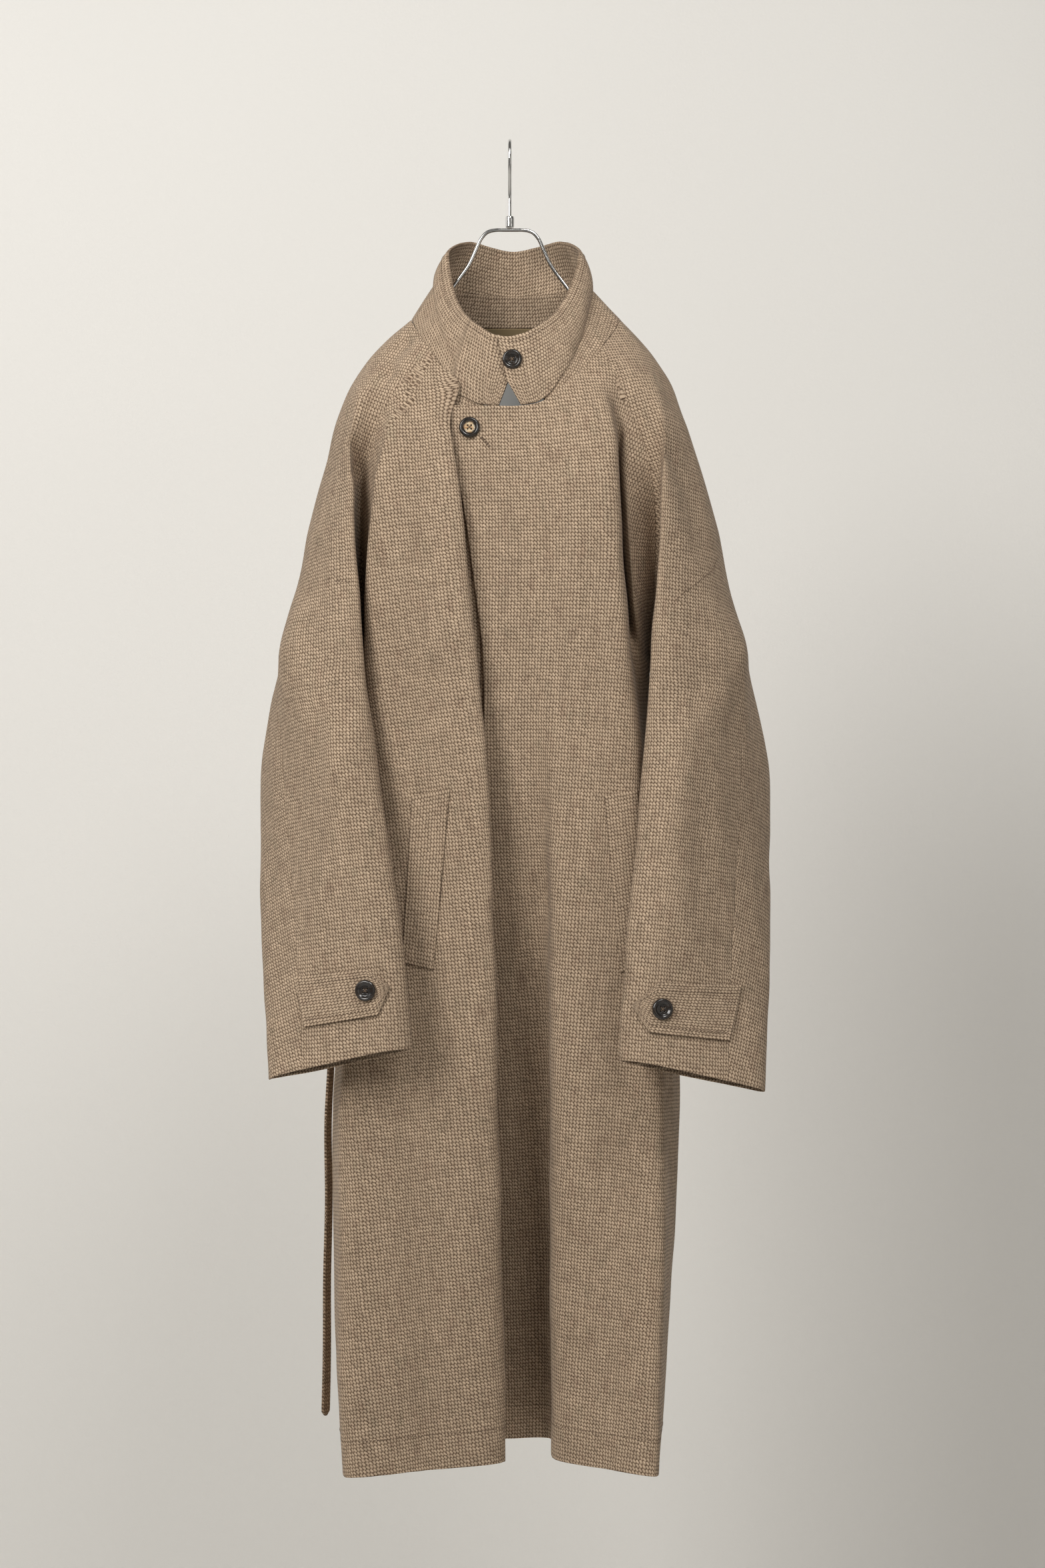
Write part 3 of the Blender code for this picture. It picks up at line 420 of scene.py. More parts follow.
def armhole_stations(side):
    """Named tracks of points down to the underarm, on the front and mirrored to the back."""
    rows, sign = ARMHOLE[side], SIGN[side]
    top = slice(0, UNDERARM + 1)
    heights = {key: LEVELS[key][top] for key in ("front", "side", "back")}
    front, back = {}, {}
    for name in ("chest", "hollow", "strip", "seam", "inner", "fold"):
        middle = between(LEVELS["middle"], LEVELS["arm"], ARM_SHARE.get(name, 0))[top]
        x, y = sign * rows[name + "_x"], rows[name + "_y"]
        front[name] = point(x, y, fall(heights["side"], heights["front"], FRONT_FALL[name]))
        back[name] = point(x, 2 * middle - y, fall(heights["side"], heights["back"], BACK_FALL[name]))
    outer = point(sign * rows["outer_x"], LEVELS["arm"][top], heights["side"])
    for stations, falls, height in ((front, FRONT_FALL, "front"), (back, BACK_FALL, "back")):
        face = between(stations["fold"], outer, 0.5)
        face[:, 0] = between(stations["fold"], outer, FACE_SHARE[:, None])[:, 0]
        face[:, 2] = fall(heights["side"], heights[height], falls["face"])
        stations["face"] = face
    front["outer"] = back["outer"] = outer
    return front, back


def body_stations(side):
    """Named tracks of points from below the underarm to the hem."""
    rows, sign = BODY[side], SIGN[side]
    low = slice(UNDERARM + 1, None)
    z, middle, back_y = LEVELS["side"][low], LEVELS["middle"][low], LEVELS["back_y"][low]
    seam = point(sign * rows["side_x"], middle, z)
    front = {"seam": seam, "chest": point(sign * rows["chest_x"], rows["chest_y"], z)}
    back = {"seam": seam, "chest": point(sign * (rows["chest_x"] + 3), back_y - 8, z)}
    for stations in (front, back):
        for name, share in (("hollow", 0.3), ("strip", 0.65)):
            track = between(stations["chest"], seam, share)
            track[:, 0] = between(stations["chest"], seam, share ** 0.6)[:, 0]
            stations[name] = track
    return front, back


def sleeve_stations(side):
    """Named tracks of points round the sleeve from below the underarm to the cuff.

    Each ring is a squared ellipse whose outer and inner halves differ in depth,
    turned about the vertical and then sloped.
    """
    rows, sign = SLEEVE, SIGN[side]
    angles = {name: np.full(len(rows["z"]), float(a)) for name, a in SLEEVE_ANGLES.items()}
    angles["outer"] = rows["seam"]
    angles["face"] = (rows["seam"] + SLEEVE_ANGLES["fold"] - 360) / 2
    angles["face_back"] = (rows["seam"] + SLEEVE_ANGLES["fold_back"]) / 2
    lower = (rows["z"] - rows["z"][0]) / (rows["z"][-1] - rows["z"][0])
    turn = np.radians(rows["turn"] + SLEEVE_TURN[side] * (1 - lower))
    mid_x = rows["mid_x"] + SLEEVE_SHIFT[side] * (1 - lower)
    stations = {}
    for name, angle in angles.items():
        c, s = np.cos(np.radians(angle)), np.sin(np.radians(angle))
        along = rows["long"] * np.sign(c) * np.abs(c) ** SLEEVE_SQUARE
        across = np.where(s > 0, rows["outer"], rows["inner"]) * np.sign(s) * np.abs(s) ** SLEEVE_SQUARE
        out = across * np.cos(turn) - along * np.sin(turn)
        y = -along * np.cos(turn) - across * np.sin(turn)
        z = rows["z"] - SLEEVE_DROP[side] * lower - rows["tilt"] * out - rows["pitch"] * y
        stations[name] = point(SLEEVE_CENTRE + sign * (mid_x + out), rows["mid_y"] + y, z)
    return stations


def front_edge_stations(side):
    """Tracks from the front's edge to its side, for the lapping or the covered front."""
    z = LEVELS["front"]
    crest_fall = fall(LEVELS["side"], z, 0.95)
    chest = np.concatenate([armhole_stations(side)[0]["chest"], body_stations(side)[0]["chest"]])
    if side == "left":
        edge = point(FRONT["flap_x"], FRONT["flap_y"], z)
        floor = point(FRONT["floor_x"], FRONT["floor_y"], z)
        fold = point(FRONT["crest_x"], FRONT["crest_y"], crest_fall)
        first = [edge, between(edge, floor, 0.5), floor, fold]
    else:
        behind = point(FRONT["flap_x"] + 9, FRONT["flap_y"] + LAP_PLAY, z)
        under = point(np.full(len(z), UNDER_EDGE), FRONT["floor_y"] + LAP_PLAY, z)
        turn = point(FRONT["turn_x"], FRONT["turn_y"], z)
        fold = point(FRONT["lap_x"], FRONT["lap_y"], crest_fall)
        first = [under, between(under, behind, 0.5), behind, turn, fold]
    plane = between(fold, chest, 0.55)
    plane[:, 1] = between(fold, chest, 0.55)[:, 1] - 2.5
    return first + [plane]


class Sheet:
    """A cloth surface through tracks of points, with one neighbour track at each side.

    `tracks` run front to back. Rows above the underarm and rows below it have their own
    neighbours, because body and sleeve part there. `shared` holds, for a track on the
    raglan seam, the point below and the point above the underarm that steer its curve.
    """

    def __init__(self, tracks, before, after, flip, shared):
        rows = range(len(tracks[0]))
        halves = [[np.take(track, rows, axis=0, mode="clip") for track in (ahead, *tracks, behind)]
                  for ahead, behind in zip(before, after)]
        self.upper, self.lower = [np.swapaxes(np.array(half), 0, 1) for half in halves]
        for index, (below, above) in shared.items():
            self.upper[UNDERARM + 1, index + 1] = below
            self.lower[UNDERARM - 1, index + 1] = above
        self.rows, self.count = len(self.upper), len(tracks)
        self.flip, self.shared = flip, shared

    def at(self, row, column):
        """Grid of points at row and column positions; column 0 is the first own track."""
        rows = np.asarray(row, dtype=float)
        above = (rows <= UNDERARM)[:, None, None]
        lines = np.where(above, smooth(self.upper, rows), smooth(self.lower, rows))
        grid = smooth(np.swapaxes(lines, 0, 1), np.asarray(column, dtype=float) + 1)
        return np.swapaxes(grid, 0, 1)

    def normals(self, row, column):
        """Outward unit normals: the cross product of small steps down and along the surface.

        At the underarm they lean downwards, so that the four pieces that meet agree.
        """
        d = 0.02
        row, column = np.asarray(row, dtype=float), np.asarray(column, dtype=float)
        down = self.at(np.minimum(row + d, self.rows - 1), column) - self.at(np.maximum(row - d, 0), column)
        along = self.at(row, column + d) - self.at(row, column - d)
        normal = np.cross(down, along) * (-1 if self.flip else 1)
        normal /= np.linalg.norm(normal, axis=-1, keepdims=True)
        for index in self.shared:
            near = np.exp(-((row - UNDERARM) / 0.12) ** 2)[:, None] * np.exp(-((column - index) / 0.25) ** 2)
            normal = normal * (1 - near[..., None]) + point(0, 0, -1) * near[..., None]
        return normal / np.linalg.norm(normal, axis=-1, keepdims=True)


def steps(first, last, per):
    """Evenly spaced positions from first to last with `per` steps to each unit."""
    return np.linspace(first, last, int(round((last - first) * per)) + 1)


def side_tracks(side):
    """Every track of one side from neckline to hem or cuff, and the points they share."""
    body, arm = armhole_stations(side), sleeve_stations(side)
    low_body = body_stations(side)
    tracks = {}
    for half, upper, lower, mark in (("front", body[0], low_body[0], ""),
                                     ("back", body[1], low_body[1], "_back")):
        for name in ("chest", "hollow", "strip", "seam"):
            tracks[half, name] = np.concatenate([upper[name], lower[name]])
        for name in ("inner", "fold", "face"):
            tracks[half, name] = np.concatenate([upper[name], arm[name + mark]])
        tracks[half, "outer"] = np.concatenate([upper["outer"], arm["outer"]])
        tracks[half, "arm_seam"] = np.concatenate([upper["seam"], arm["seam"]])
    below = between(low_body[0]["seam"][0], arm["seam"][0], 0.5)
    above = between(body[0]["seam"][UNDERARM - 1], body[1]["seam"][UNDERARM - 1], 0.5)
    return tracks, (below, above)


def all_sheets():
    """Every cloth surface of the body and sleeves by name."""
    sheets, backs = {}, {}
    for side in ("left", "right"):
        flip = side == "right"
        line, shared = side_tracks(side)

        tracks = front_edge_stations(side)
        tracks += [line["front", name] for name in ("chest", "hollow", "strip", "seam")]
        edge = 2 * tracks[0] - tracks[1]
        sheets["front_" + side] = Sheet(tracks, (edge, edge), (line["front", "inner"], line["back", "strip"]),
                                        flip, {len(tracks) - 1: shared})

        names = ("arm_seam", "inner", "fold", "face", "outer")
        ends = (line["back", "face"], line["back", "face"])
        sheets["sleeve_front_" + side] = Sheet([line["front", name] for name in names],
                                               (line["front", "strip"], line["back", "inner"]), ends,
                                               flip, {0: shared})
        ends = (line["front", "face"], line["front", "face"])
        sheets["sleeve_back_" + side] = Sheet([line["back", name] for name in names[::-1]], ends,
                                              (line["back", "strip"], line["front", "inner"]),
                                              flip, {4: shared})

        half = [line["back", name] for name in ("seam", "strip", "hollow", "chest")]
        backs[side] = (half, (line["back", "inner"], line["front", "strip"]), shared)

    half_left, before, shared_left = backs["left"]
    half_right, after, shared_right = backs["right"]
    middle = []
    for number, share in enumerate(BACK_FOLDS):
        x = between(half_right[-1], half_left[-1], 0.5 + share / 2)[:, 0]
        y = LEVELS["back_y"] + LEVELS["fold"] * (0.5 if number % 2 == 0 else -0.5)
        middle.append(point(x, y, LEVELS["back"]))
    tracks = half_left + middle + half_right[::-1]
    shared = {0: shared_left, len(tracks) - 1: shared_right}
    sheets["back"] = Sheet(tracks, before, after, False, shared)
    return sheets


def neckline(sheets):
    """The neck edge as points against the angle round the neck, flap edge to under edge."""
    runs = []
    for name, reverse in (("front_left", False), ("sleeve_front_left", False),
                          ("sleeve_back_left", False), ("back", False),
                          ("sleeve_back_right", True), ("sleeve_front_right", True),
                          ("front_right", True)):
        line = sheets[name].at([0.0], steps(0, sheets[name].count - 1, 8))[0]
        runs.append(line[::-1] if reverse else line)
    line = np.concatenate(runs)
    angle = np.degrees(np.unwrap(np.arctan2(line[:, 0] - NECK_X, NECK_Y - line[:, 1])))
    keep = np.concatenate([[True], np.diff(np.maximum.accumulate(angle)) > 1e-6])
    return angle[keep], line[keep]


def folded(angle):
    """Angles round the neck as 0 to 180 on either side."""
    return np.abs((np.asarray(angle) + 180) % 360 - 180)


def collar_column(name, angle):
    """A collar column at any angle, with the same values on both sides of the neck.

    The table is mirrored at both ends, so that the curve is level at front and back.
    """
    values, count = COLLAR[name], len(COLLAR["angle"])
    values = np.concatenate([values[1:2], values, values[-2:-1]])
    spot = np.interp(folded(angle), COLLAR["angle"], np.arange(count)) + 1
    return smooth(values[:, None], spot)[:, 0]


def neck_points(angle, sheets):
    """Points of the neck edge at the given angles."""
    known, line = neckline(sheets)
    return np.stack([np.interp(angle, known, line[:, i]) for i in range(3)], axis=-1)


def outward(angle):
    """Level unit vectors away from the neck's axis."""
    turn = np.radians(angle)
    return point(np.sin(turn), -np.cos(turn), 0)


def stand_top(angle, sheets):
    """The seam between the collar's stand and leaf: the neck edge raised and leaned in."""
    height, lean = collar_column("stand", angle)[:, None], collar_column("lean", angle)[:, None]
    lean = lean + LEFT_LEAN * np.sin(np.radians(np.clip(angle, 0, 180)))[:, None]
    rise = np.sqrt(1 - lean ** 2)
    return neck_points(angle, sheets) + height * (point(0, 0, 1) * rise - outward(angle) * lean)


def leaf_row(angle, height, sheets):
    """Points of the leaf at one height from its foot (0) to its rim (1)."""
    foot = stand_top(angle, sheets)
    radius = collar_column("rim_r", angle)
    wrapped = (angle + 180) % 360 - 180
    play = np.clip((50 - np.abs(wrapped)) / 40, 0, 1) * np.where(angle < 180, 1, -1) * LEAF_PLAY
    rim = outward(angle) * (radius + play)[:, None] + point(NECK_X, NECK_Y, 0)
    rim[:, 2] = collar_column("rim_z", angle + RIM_TURN * np.cos(np.radians(angle / 2)) ** 2)
    swell = collar_column("swell", angle)[:, None] * 4 * height * (1 - height)
    return between(foot, rim, height) + outward(angle) * swell


def unit(vectors):
    """Each vector divided by its own length."""
    return vectors / np.maximum(np.linalg.norm(vectors, axis=-1, keepdims=True), 1e-9)


def waves(points, height, shortest, longest, seed, upright=0.3, count=22):
    """Sum of seeded plane waves: the sine of (point . direction) * 2 pi / length + phase.

    The directions are nearly level, so that the waves run up and down the cloth.
    """
    rng = np.random.default_rng(seed)
    direction = unit(rng.normal(size=(count, 3)) * (1.0, 1.0, upright))
    length = rng.uniform(shortest, longest, count)
    phase = rng.uniform(0, 2 * np.pi, count)
    turn = points @ (direction * (2 * np.pi / length[:, None])).T + phase
    return height * math.sqrt(2 / count) * np.sin(turn).sum(axis=-1)


def fold_heights(points, group):
    """Sum of the soft folds of one group of pieces.

    Each is a bell of the distance to its line, which wanders as a slow sine, times a
    rise and fall along the line.
    """
    total = np.zeros(points.shape[:-1])
    for i in np.flatnonzero(FOLDS["group"] == group):
        start = np.array([FOLDS["x0"][i], FOLDS["z0"][i]])
        end = np.array([FOLDS["x1"][i], FOLDS["z1"][i]])
        length = np.linalg.norm(end - start)
        way = (end - start) / length
        offset = points[..., [0, 2]] - start
        along = offset @ way / length
        aside = offset @ np.array([-way[1], way[0]])
        aside = aside + FOLDS["wander"][i] * np.sin(along * 7 + i)
        bell = np.exp(-(aside / FOLDS["width"][i]) ** 2)
        reach = np.clip(np.minimum(along + 0.12, 1.12 - along) / 0.24, 0, 1)
        total += FOLDS["height"][i] * bell * reach ** 2 * (3 - 2 * reach)
    return total


def away_from_seams(grid):
    """0 at the first and last column of a grid, rising smoothly to 1 over 26 mm of cloth."""
    run = np.linalg.norm(np.diff(grid, axis=1), axis=-1)
    first = np.concatenate([np.zeros((len(grid), 1)), np.cumsum(run, axis=1)], axis=1)
    near = np.clip(np.minimum(first, first[:, -1:] - first) / 26, 0, 1)
    return near ** 2 * (3 - 2 * near)


def flattened(grid, weight, turns=1100):
    """Lays a coarse grid of surface points flat, with as little stretch as it can.

    It starts from the lengths along the middle column and along each row. Every point then
    moves, again and again, towards its true distances from its neighbours, with a force
    that grows with the weights there.
    """
    down = np.linalg.norm(np.diff(grid, axis=0), axis=-1)
    across = np.linalg.norm(np.diff(grid, axis=1), axis=-1)
    rows, columns = grid.shape[:2]
    middle = columns // 2
    u = np.concatenate([np.zeros((rows, 1)), np.cumsum(across, axis=1)], axis=1)
    v = np.concatenate([[0], np.cumsum(down[:, middle])])
    flat = np.stack([u - u[:, middle:middle + 1], np.broadcast_to(-v[:, None], u.shape)], axis=-1)
    near = ((slice(None), slice(None, -1), slice(None), slice(1, None)),
            (slice(None, -1), slice(None), slice(1, None), slice(None)),
            (slice(None, -1), slice(None, -1), slice(1, None), slice(1, None)),
            (slice(None, -1), slice(1, None), slice(1, None), slice(None, -1)))
    true = [np.linalg.norm(grid[c, d] - grid[a, b], axis=-1, keepdims=True) for a, b, c, d in near]
    force = [0.25 * (weight[c, d] + weight[a, b]) for a, b, c, d in near]
    speed = np.zeros_like(flat)
    for _ in range(turns):
        push = np.zeros_like(flat)
        for (a, b, c, d), length, share in zip(near, true, force):
            way = flat[c, d] - flat[a, b]
            now = np.maximum(np.linalg.norm(way, axis=-1, keepdims=True), 1e-6)
            pull = way * (share * (now - length) / now)
            push[a, b] += pull
            push[c, d] -= pull
        speed = speed * 0.85 + push * 0.22
        flat += speed
    return flat


def turned_upright(flat, seen, weight):
    """A flat piece turned to lie as it is seen from the front or back, in the weighted mean.

    The angle is that of the sum of the products of flat and seen places, taken as complex
    numbers about their weighted means.
    """
    middle = (flat * weight).sum(axis=(0, 1)) / weight.sum()
    flat = flat - middle
    seen = (seen - (seen * weight).sum(axis=(0, 1)) / weight.sum()) * weight
    turn = np.arctan2((flat[..., 0] * seen[..., 1] - flat[..., 1] * seen[..., 0]).sum(), (flat * seen).sum())
    c, s = np.cos(turn), np.sin(turn)
    return flat @ np.array([[c, s], [-s, c]])


def refined(coarse, row, column):
    """A coarse grid of values read at finer row and column positions."""
    lines = smooth(coarse, row)
    return np.swapaxes(smooth(np.swapaxes(lines, 0, 1), column), 0, 1)


def with_rims(values):
    """Adds two rows and two columns close beside each edge, where the cloth rounds off.

    `values` holds position first, so that the added lines lie at fixed distances from
    the edge. Returns the new grid and each point's share of the full thickness.
    """
    def add(grid):
        gap = np.maximum(np.linalg.norm(grid[1, :, :3] - grid[0, :, :3], axis=-1, keepdims=True), 1e-6)
        room = np.minimum(1, 0.8 * gap / RIM_STEPS[-1])
        extra = [between(grid[0], grid[1], step * room / gap) for step in RIM_STEPS]
        return np.concatenate([grid[:1], np.array(extra), grid[1:]])

    for _ in range(2):
        values = add(values)
        values = add(values[::-1])[::-1]
        values = np.swapaxes(values, 0, 1)
    rows, columns = values.shape[:2]
    shares = np.ones(max(rows, columns))
    shares[:len(RIM_SHARES)] = RIM_SHARES
    by_row = np.minimum(shares[:rows], shares[:rows][::-1])
    by_column = np.minimum(shares[:columns], shares[:columns][::-1])
    return values, np.minimum(by_row[:, None], by_column)


def wall_faces(rows, columns):
    """Quads of a closed wall: outer grid, inner grid and the four edges between them."""
    index = np.arange(rows * columns).reshape(rows, columns)
    inside = index + rows * columns

    def quads(a, b, c, d):
        return np.stack([a.ravel(), b.ravel(), c.ravel(), d.ravel()], axis=1)

    return np.concatenate([
        quads(index[:-1, :-1], index[1:, :-1], index[1:, 1:], index[:-1, 1:]),
        quads(inside[:-1, :-1], inside[:-1, 1:], inside[1:, 1:], inside[1:, :-1]),
        quads(index[0, :-1], index[0, 1:], inside[0, 1:], inside[0, :-1]),
        quads(index[-1, 1:], index[-1, :-1], inside[-1, :-1], inside[-1, 1:]),
        quads(index[1:, 0], index[:-1, 0], inside[:-1, 0], inside[1:, 0]),
        quads(index[:-1, -1], index[1:, -1], inside[1:, -1], inside[:-1, -1]),
    ])


def make_piece(name, vertices, faces, finish, replaces, uv=None):
    """A smooth-shaded mesh object at the origin that rides on the coat; sizes in mm."""
    old = bpy.data.objects.get(name)
    if old is not None:
        bpy.data.objects.remove(old, do_unlink=True)
    mesh = bpy.data.meshes.new(name)
    if isinstance(faces, np.ndarray):
        faces = faces.tolist()
    mesh.from_pydata((np.asarray(vertices) * MM).tolist(), [], faces)
    mesh.polygons.foreach_set("use_smooth", [True] * len(mesh.polygons))
    if uv is not None:
        corners = np.empty(len(mesh.loops), dtype=np.int32)
        mesh.loops.foreach_get("vertex_index", corners)
        layer = mesh.uv_layers.new(name=CLOTH_MAP)
        layer.data.foreach_set("uv", (np.asarray(uv)[corners] * MM).ravel())
    mesh.update()
    mesh.materials.append(finish)
    made = bpy.data.objects.new(name, mesh)
    bpy.context.scene.collection.objects.link(made)
    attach(made, "root")
    if replaces:
        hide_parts(*replaces)
    return made


def flat_size(uv):
    """Width, length and area, in metres, of a grid of flat points in millimetres."""
    width, length = (uv.reshape(-1, 2).max(axis=0) - uv.reshape(-1, 2).min(axis=0)) * MM
    p, q = uv[1:, 1:] - uv[:-1, :-1], uv[1:, :-1] - uv[:-1, 1:]
    area = np.abs(p[..., 0] * q[..., 1] - p[..., 1] * q[..., 0]).sum() / 2 * MM * MM
    return (float(width), float(length)), float(area)


def make_cloth(name, node, middle, normal, uv, wall, finish, reverse=False):
    """One sheet of cloth with rounded edges: middle surface plus and minus half its wall."""
    values, share = with_rims(np.concatenate([middle, normal, uv], axis=-1))
    middle, normal, flat = values[..., :3], unit(values[..., 3:6]), values[..., 6:]
    half = normal * (wall / 2 * share)[..., None]
    outer, inner = middle + half, middle - half
    if reverse:
        outer, inner, flat = outer[:, ::-1], inner[:, ::-1], flat[:, ::-1]
    points = np.concatenate([outer.reshape(-1, 3), inner.reshape(-1, 3)])
    corners = np.concatenate([flat.reshape(-1, 2)] * 2)
    made = make_piece(name, points, wall_faces(*outer.shape[:2]), finish, (node,), corners)
    size, area = flat_size(uv)
    return made


def dressed(sheets, name):
    """Outer points, normals and flat places of a sheet, with its folds, at full fineness."""
    sheet = sheets[name]
    rows, columns = steps(0, sheet.rows - 1, ROW_STEPS), steps(0, sheet.count - 1, COLUMN_STEPS)
    points, normal = sheet.at(rows, columns), sheet.normals(rows, columns)
    rise = waves(points, RIPPLE[0], *RIPPLE[1:], seed=11) + waves(points, UNEVEN[0], *UNEVEN[1:], seed=12)
    rise = rise * np.clip(rows / 2, 0, 1)[:, None]
    rise = rise + fold_heights(points, GROUPS[name]) * away_from_seams(points)
    points = points + normal * rise[..., None]
    for piece, row, column, high, wide, way in PULLS:
        if piece == name:
            bell = np.exp(-((rows - row) / high) ** 2)[:, None] * np.exp(-((columns - column) / wide) ** 2)
            points = points + bell[..., None] * np.array(way)
    places = steps(0, sheet.rows - 1, 2), steps(0, sheet.count - 1, 2)
    coarse, facing = sheet.at(*places), sheet.normals(*places)[..., 1:2]
    flat = flattened(coarse, 0.12 + 0.88 * np.abs(facing))
    if sheet.flip:
        flat[..., 0] *= -1
    seen = coarse[..., [0, 2]] * (1 if GROUPS[name] in (0, 2) else -1, 1)
    weight = facing ** 2
    weight[:GRAIN_ROW * 2] = 0
    flat = turned_upright(flat, seen, weight)
    return points, normal, refined(flat, rows * 2, columns * 2)


def trimmed(grid):
    """The grid with its first and last columns moved in along the surface by half a seam."""
    grid = grid.copy()
    for edge, inward in ((0, 1), (-1, -2)):
        grid[:, edge] += unit(grid[:, inward] - grid[:, edge]) * SEAM_PLAY / 2
    return grid


def lie_on(skin, x, z, reach=5.0):
    """Depth and normal of the cloth seen from the front at each (x, z).

    The best plane y = a + b dx + c dz through the nearest cloth points of the foremost
    layer, each weighted by a bell of its distance.
    """
    shape, x, z = np.shape(x), np.ravel(x), np.ravel(z)
    pad = 4 * reach
    keep = ((skin[:, 0] > x.min() - pad) & (skin[:, 0] < x.max() + pad)
            & (skin[:, 2] > z.min() - pad) & (skin[:, 2] < z.max() + pad))
    skin = skin[keep]
    dx, dz = skin[None, :, 0] - x[:, None], skin[None, :, 2] - z[:, None]
    weight = np.exp(-(dx ** 2 + dz ** 2) / reach ** 2)
    foremost = np.where(weight > 0.2, skin[None, :, 1], 1e6).min(axis=1)[:, None]
    weight = weight * (skin[None, :, 1] < foremost + 2.2 + 0.6 * np.hypot(dx, dz)) + 1e-12
    terms = (np.ones_like(dx), dx, dz)
    matrix = np.array([[(weight * p * q).sum(axis=1) for q in terms] for p in terms]).transpose(2, 0, 1)
    target = np.array([(weight * p * skin[None, :, 1]).sum(axis=1) for p in terms]).T
    plane = np.linalg.solve(matrix + np.eye(3) * 1e-6, target[..., None])[..., 0]
    normal = unit(np.stack([plane[:, 1], -np.ones(len(plane)), plane[:, 2]], axis=-1))
    return plane[:, 0].reshape(shape), normal.reshape(shape + (3,))


def front_skin(*names):
    """Outer cloth points of some pieces that face the front, in millimetres."""
    found = []
    for name in names:
        mesh = bpy.data.objects[name].data
        points, normals = np.empty(len(mesh.vertices) * 3), np.empty(len(mesh.vertices) * 3)
        mesh.vertices.foreach_get("co", points)
        mesh.vertex_normals.foreach_get("vector", normals)
        points, normals = points.reshape(-1, 3) / MM, normals.reshape(-1, 3)
        half = len(points) // 2
        found.append(points[:half][normals[:half, 1] < -0.15])
    return np.concatenate(found)


def laid_grid(top, bottom, along, across):
    """(x, z) grid between a top and a bottom line of corners, evenly spread by length."""
    def line(corners):
        corners = np.array(corners, dtype=float)
        reach = np.concatenate([[0], np.cumsum(np.linalg.norm(np.diff(corners, axis=0), axis=1))])
        spot = np.linspace(0, reach[-1], along)
        return np.stack([np.interp(spot, reach, corners[:, i]) for i in (0, 1)], axis=-1)

    share = np.linspace(0, 1, across)[:, None, None]
    return between(line(top)[None], line(bottom)[None], share)


def make_laid(name, node, skin, top, bottom, wall, along, across, grain):
    """A flat cloth piece laid on the cloth below it between a top and a bottom line."""
    grid = laid_grid(top, bottom, along, across)
    depth, normal = lie_on(skin, grid[..., 0], grid[..., 1])
    middle = point(grid[..., 0], depth, grid[..., 1]) + normal * (wall / 2 + LAID_PLAY)
    down = np.concatenate([[0], np.cumsum(np.linalg.norm(np.diff(middle[:, 0], axis=0), axis=-1))])
    run = np.linalg.norm(np.diff(middle, axis=1), axis=-1)
    u = np.concatenate([np.zeros((across, 1)), np.cumsum(run, axis=1)], axis=1)
    uv = np.stack([np.broadcast_to(down[:, None], u.shape), u], axis=-1)
    if grain == "upright":
        uv = np.stack([uv[..., 1], -uv[..., 0]], axis=-1)
    reverse = grid[0, 0, 0] > grid[0, -1, 0]
    return make_cloth(name, node, middle, normal, uv, wall, cloth_finish(), reverse=reverse)


class Value:
    """A shader number with arithmetic: each operation adds one Math node."""

    def __init__(self, shader, socket):
        self.shader, self.socket = shader, socket

    def maths(self, operation, *others, swap=False):
        """This number and up to two others through one Math node."""
        terms = [self, *others]
        if swap:
            terms = terms[::-1]
        made = self.shader.node("ShaderNodeMath", {"operation": operation}, dict(enumerate(terms)))
        return Value(self.shader, made.outputs[0])

    def __add__(self, other):
        return self.maths("ADD", other)

    def __sub__(self, other):
        return self.maths("SUBTRACT", other)

    def __rsub__(self, other):
        return self.maths("SUBTRACT", other, swap=True)

    def __mul__(self, other):
        return self.maths("MULTIPLY", other)

    def __truediv__(self, other):
        return self.maths("DIVIDE", other)

    __radd__ = __add__
    __rmul__ = __mul__

    def floor(self):
        """The whole number below."""
        return self.maths("FLOOR")

    def sine(self):
        """The sine, of radians."""
        return self.maths("SINE")

    def ramp(self, low, high):
        """0 below low, 1 above high and a smooth step between."""
        settings = {"interpolation_type": "SMOOTHSTEP"}
        made = self.shader.node("ShaderNodeMapRange", settings, {0: self, 1: low, 2: high, 3: 0.0, 4: 1.0})
        return Value(self.shader, made.outputs[0])


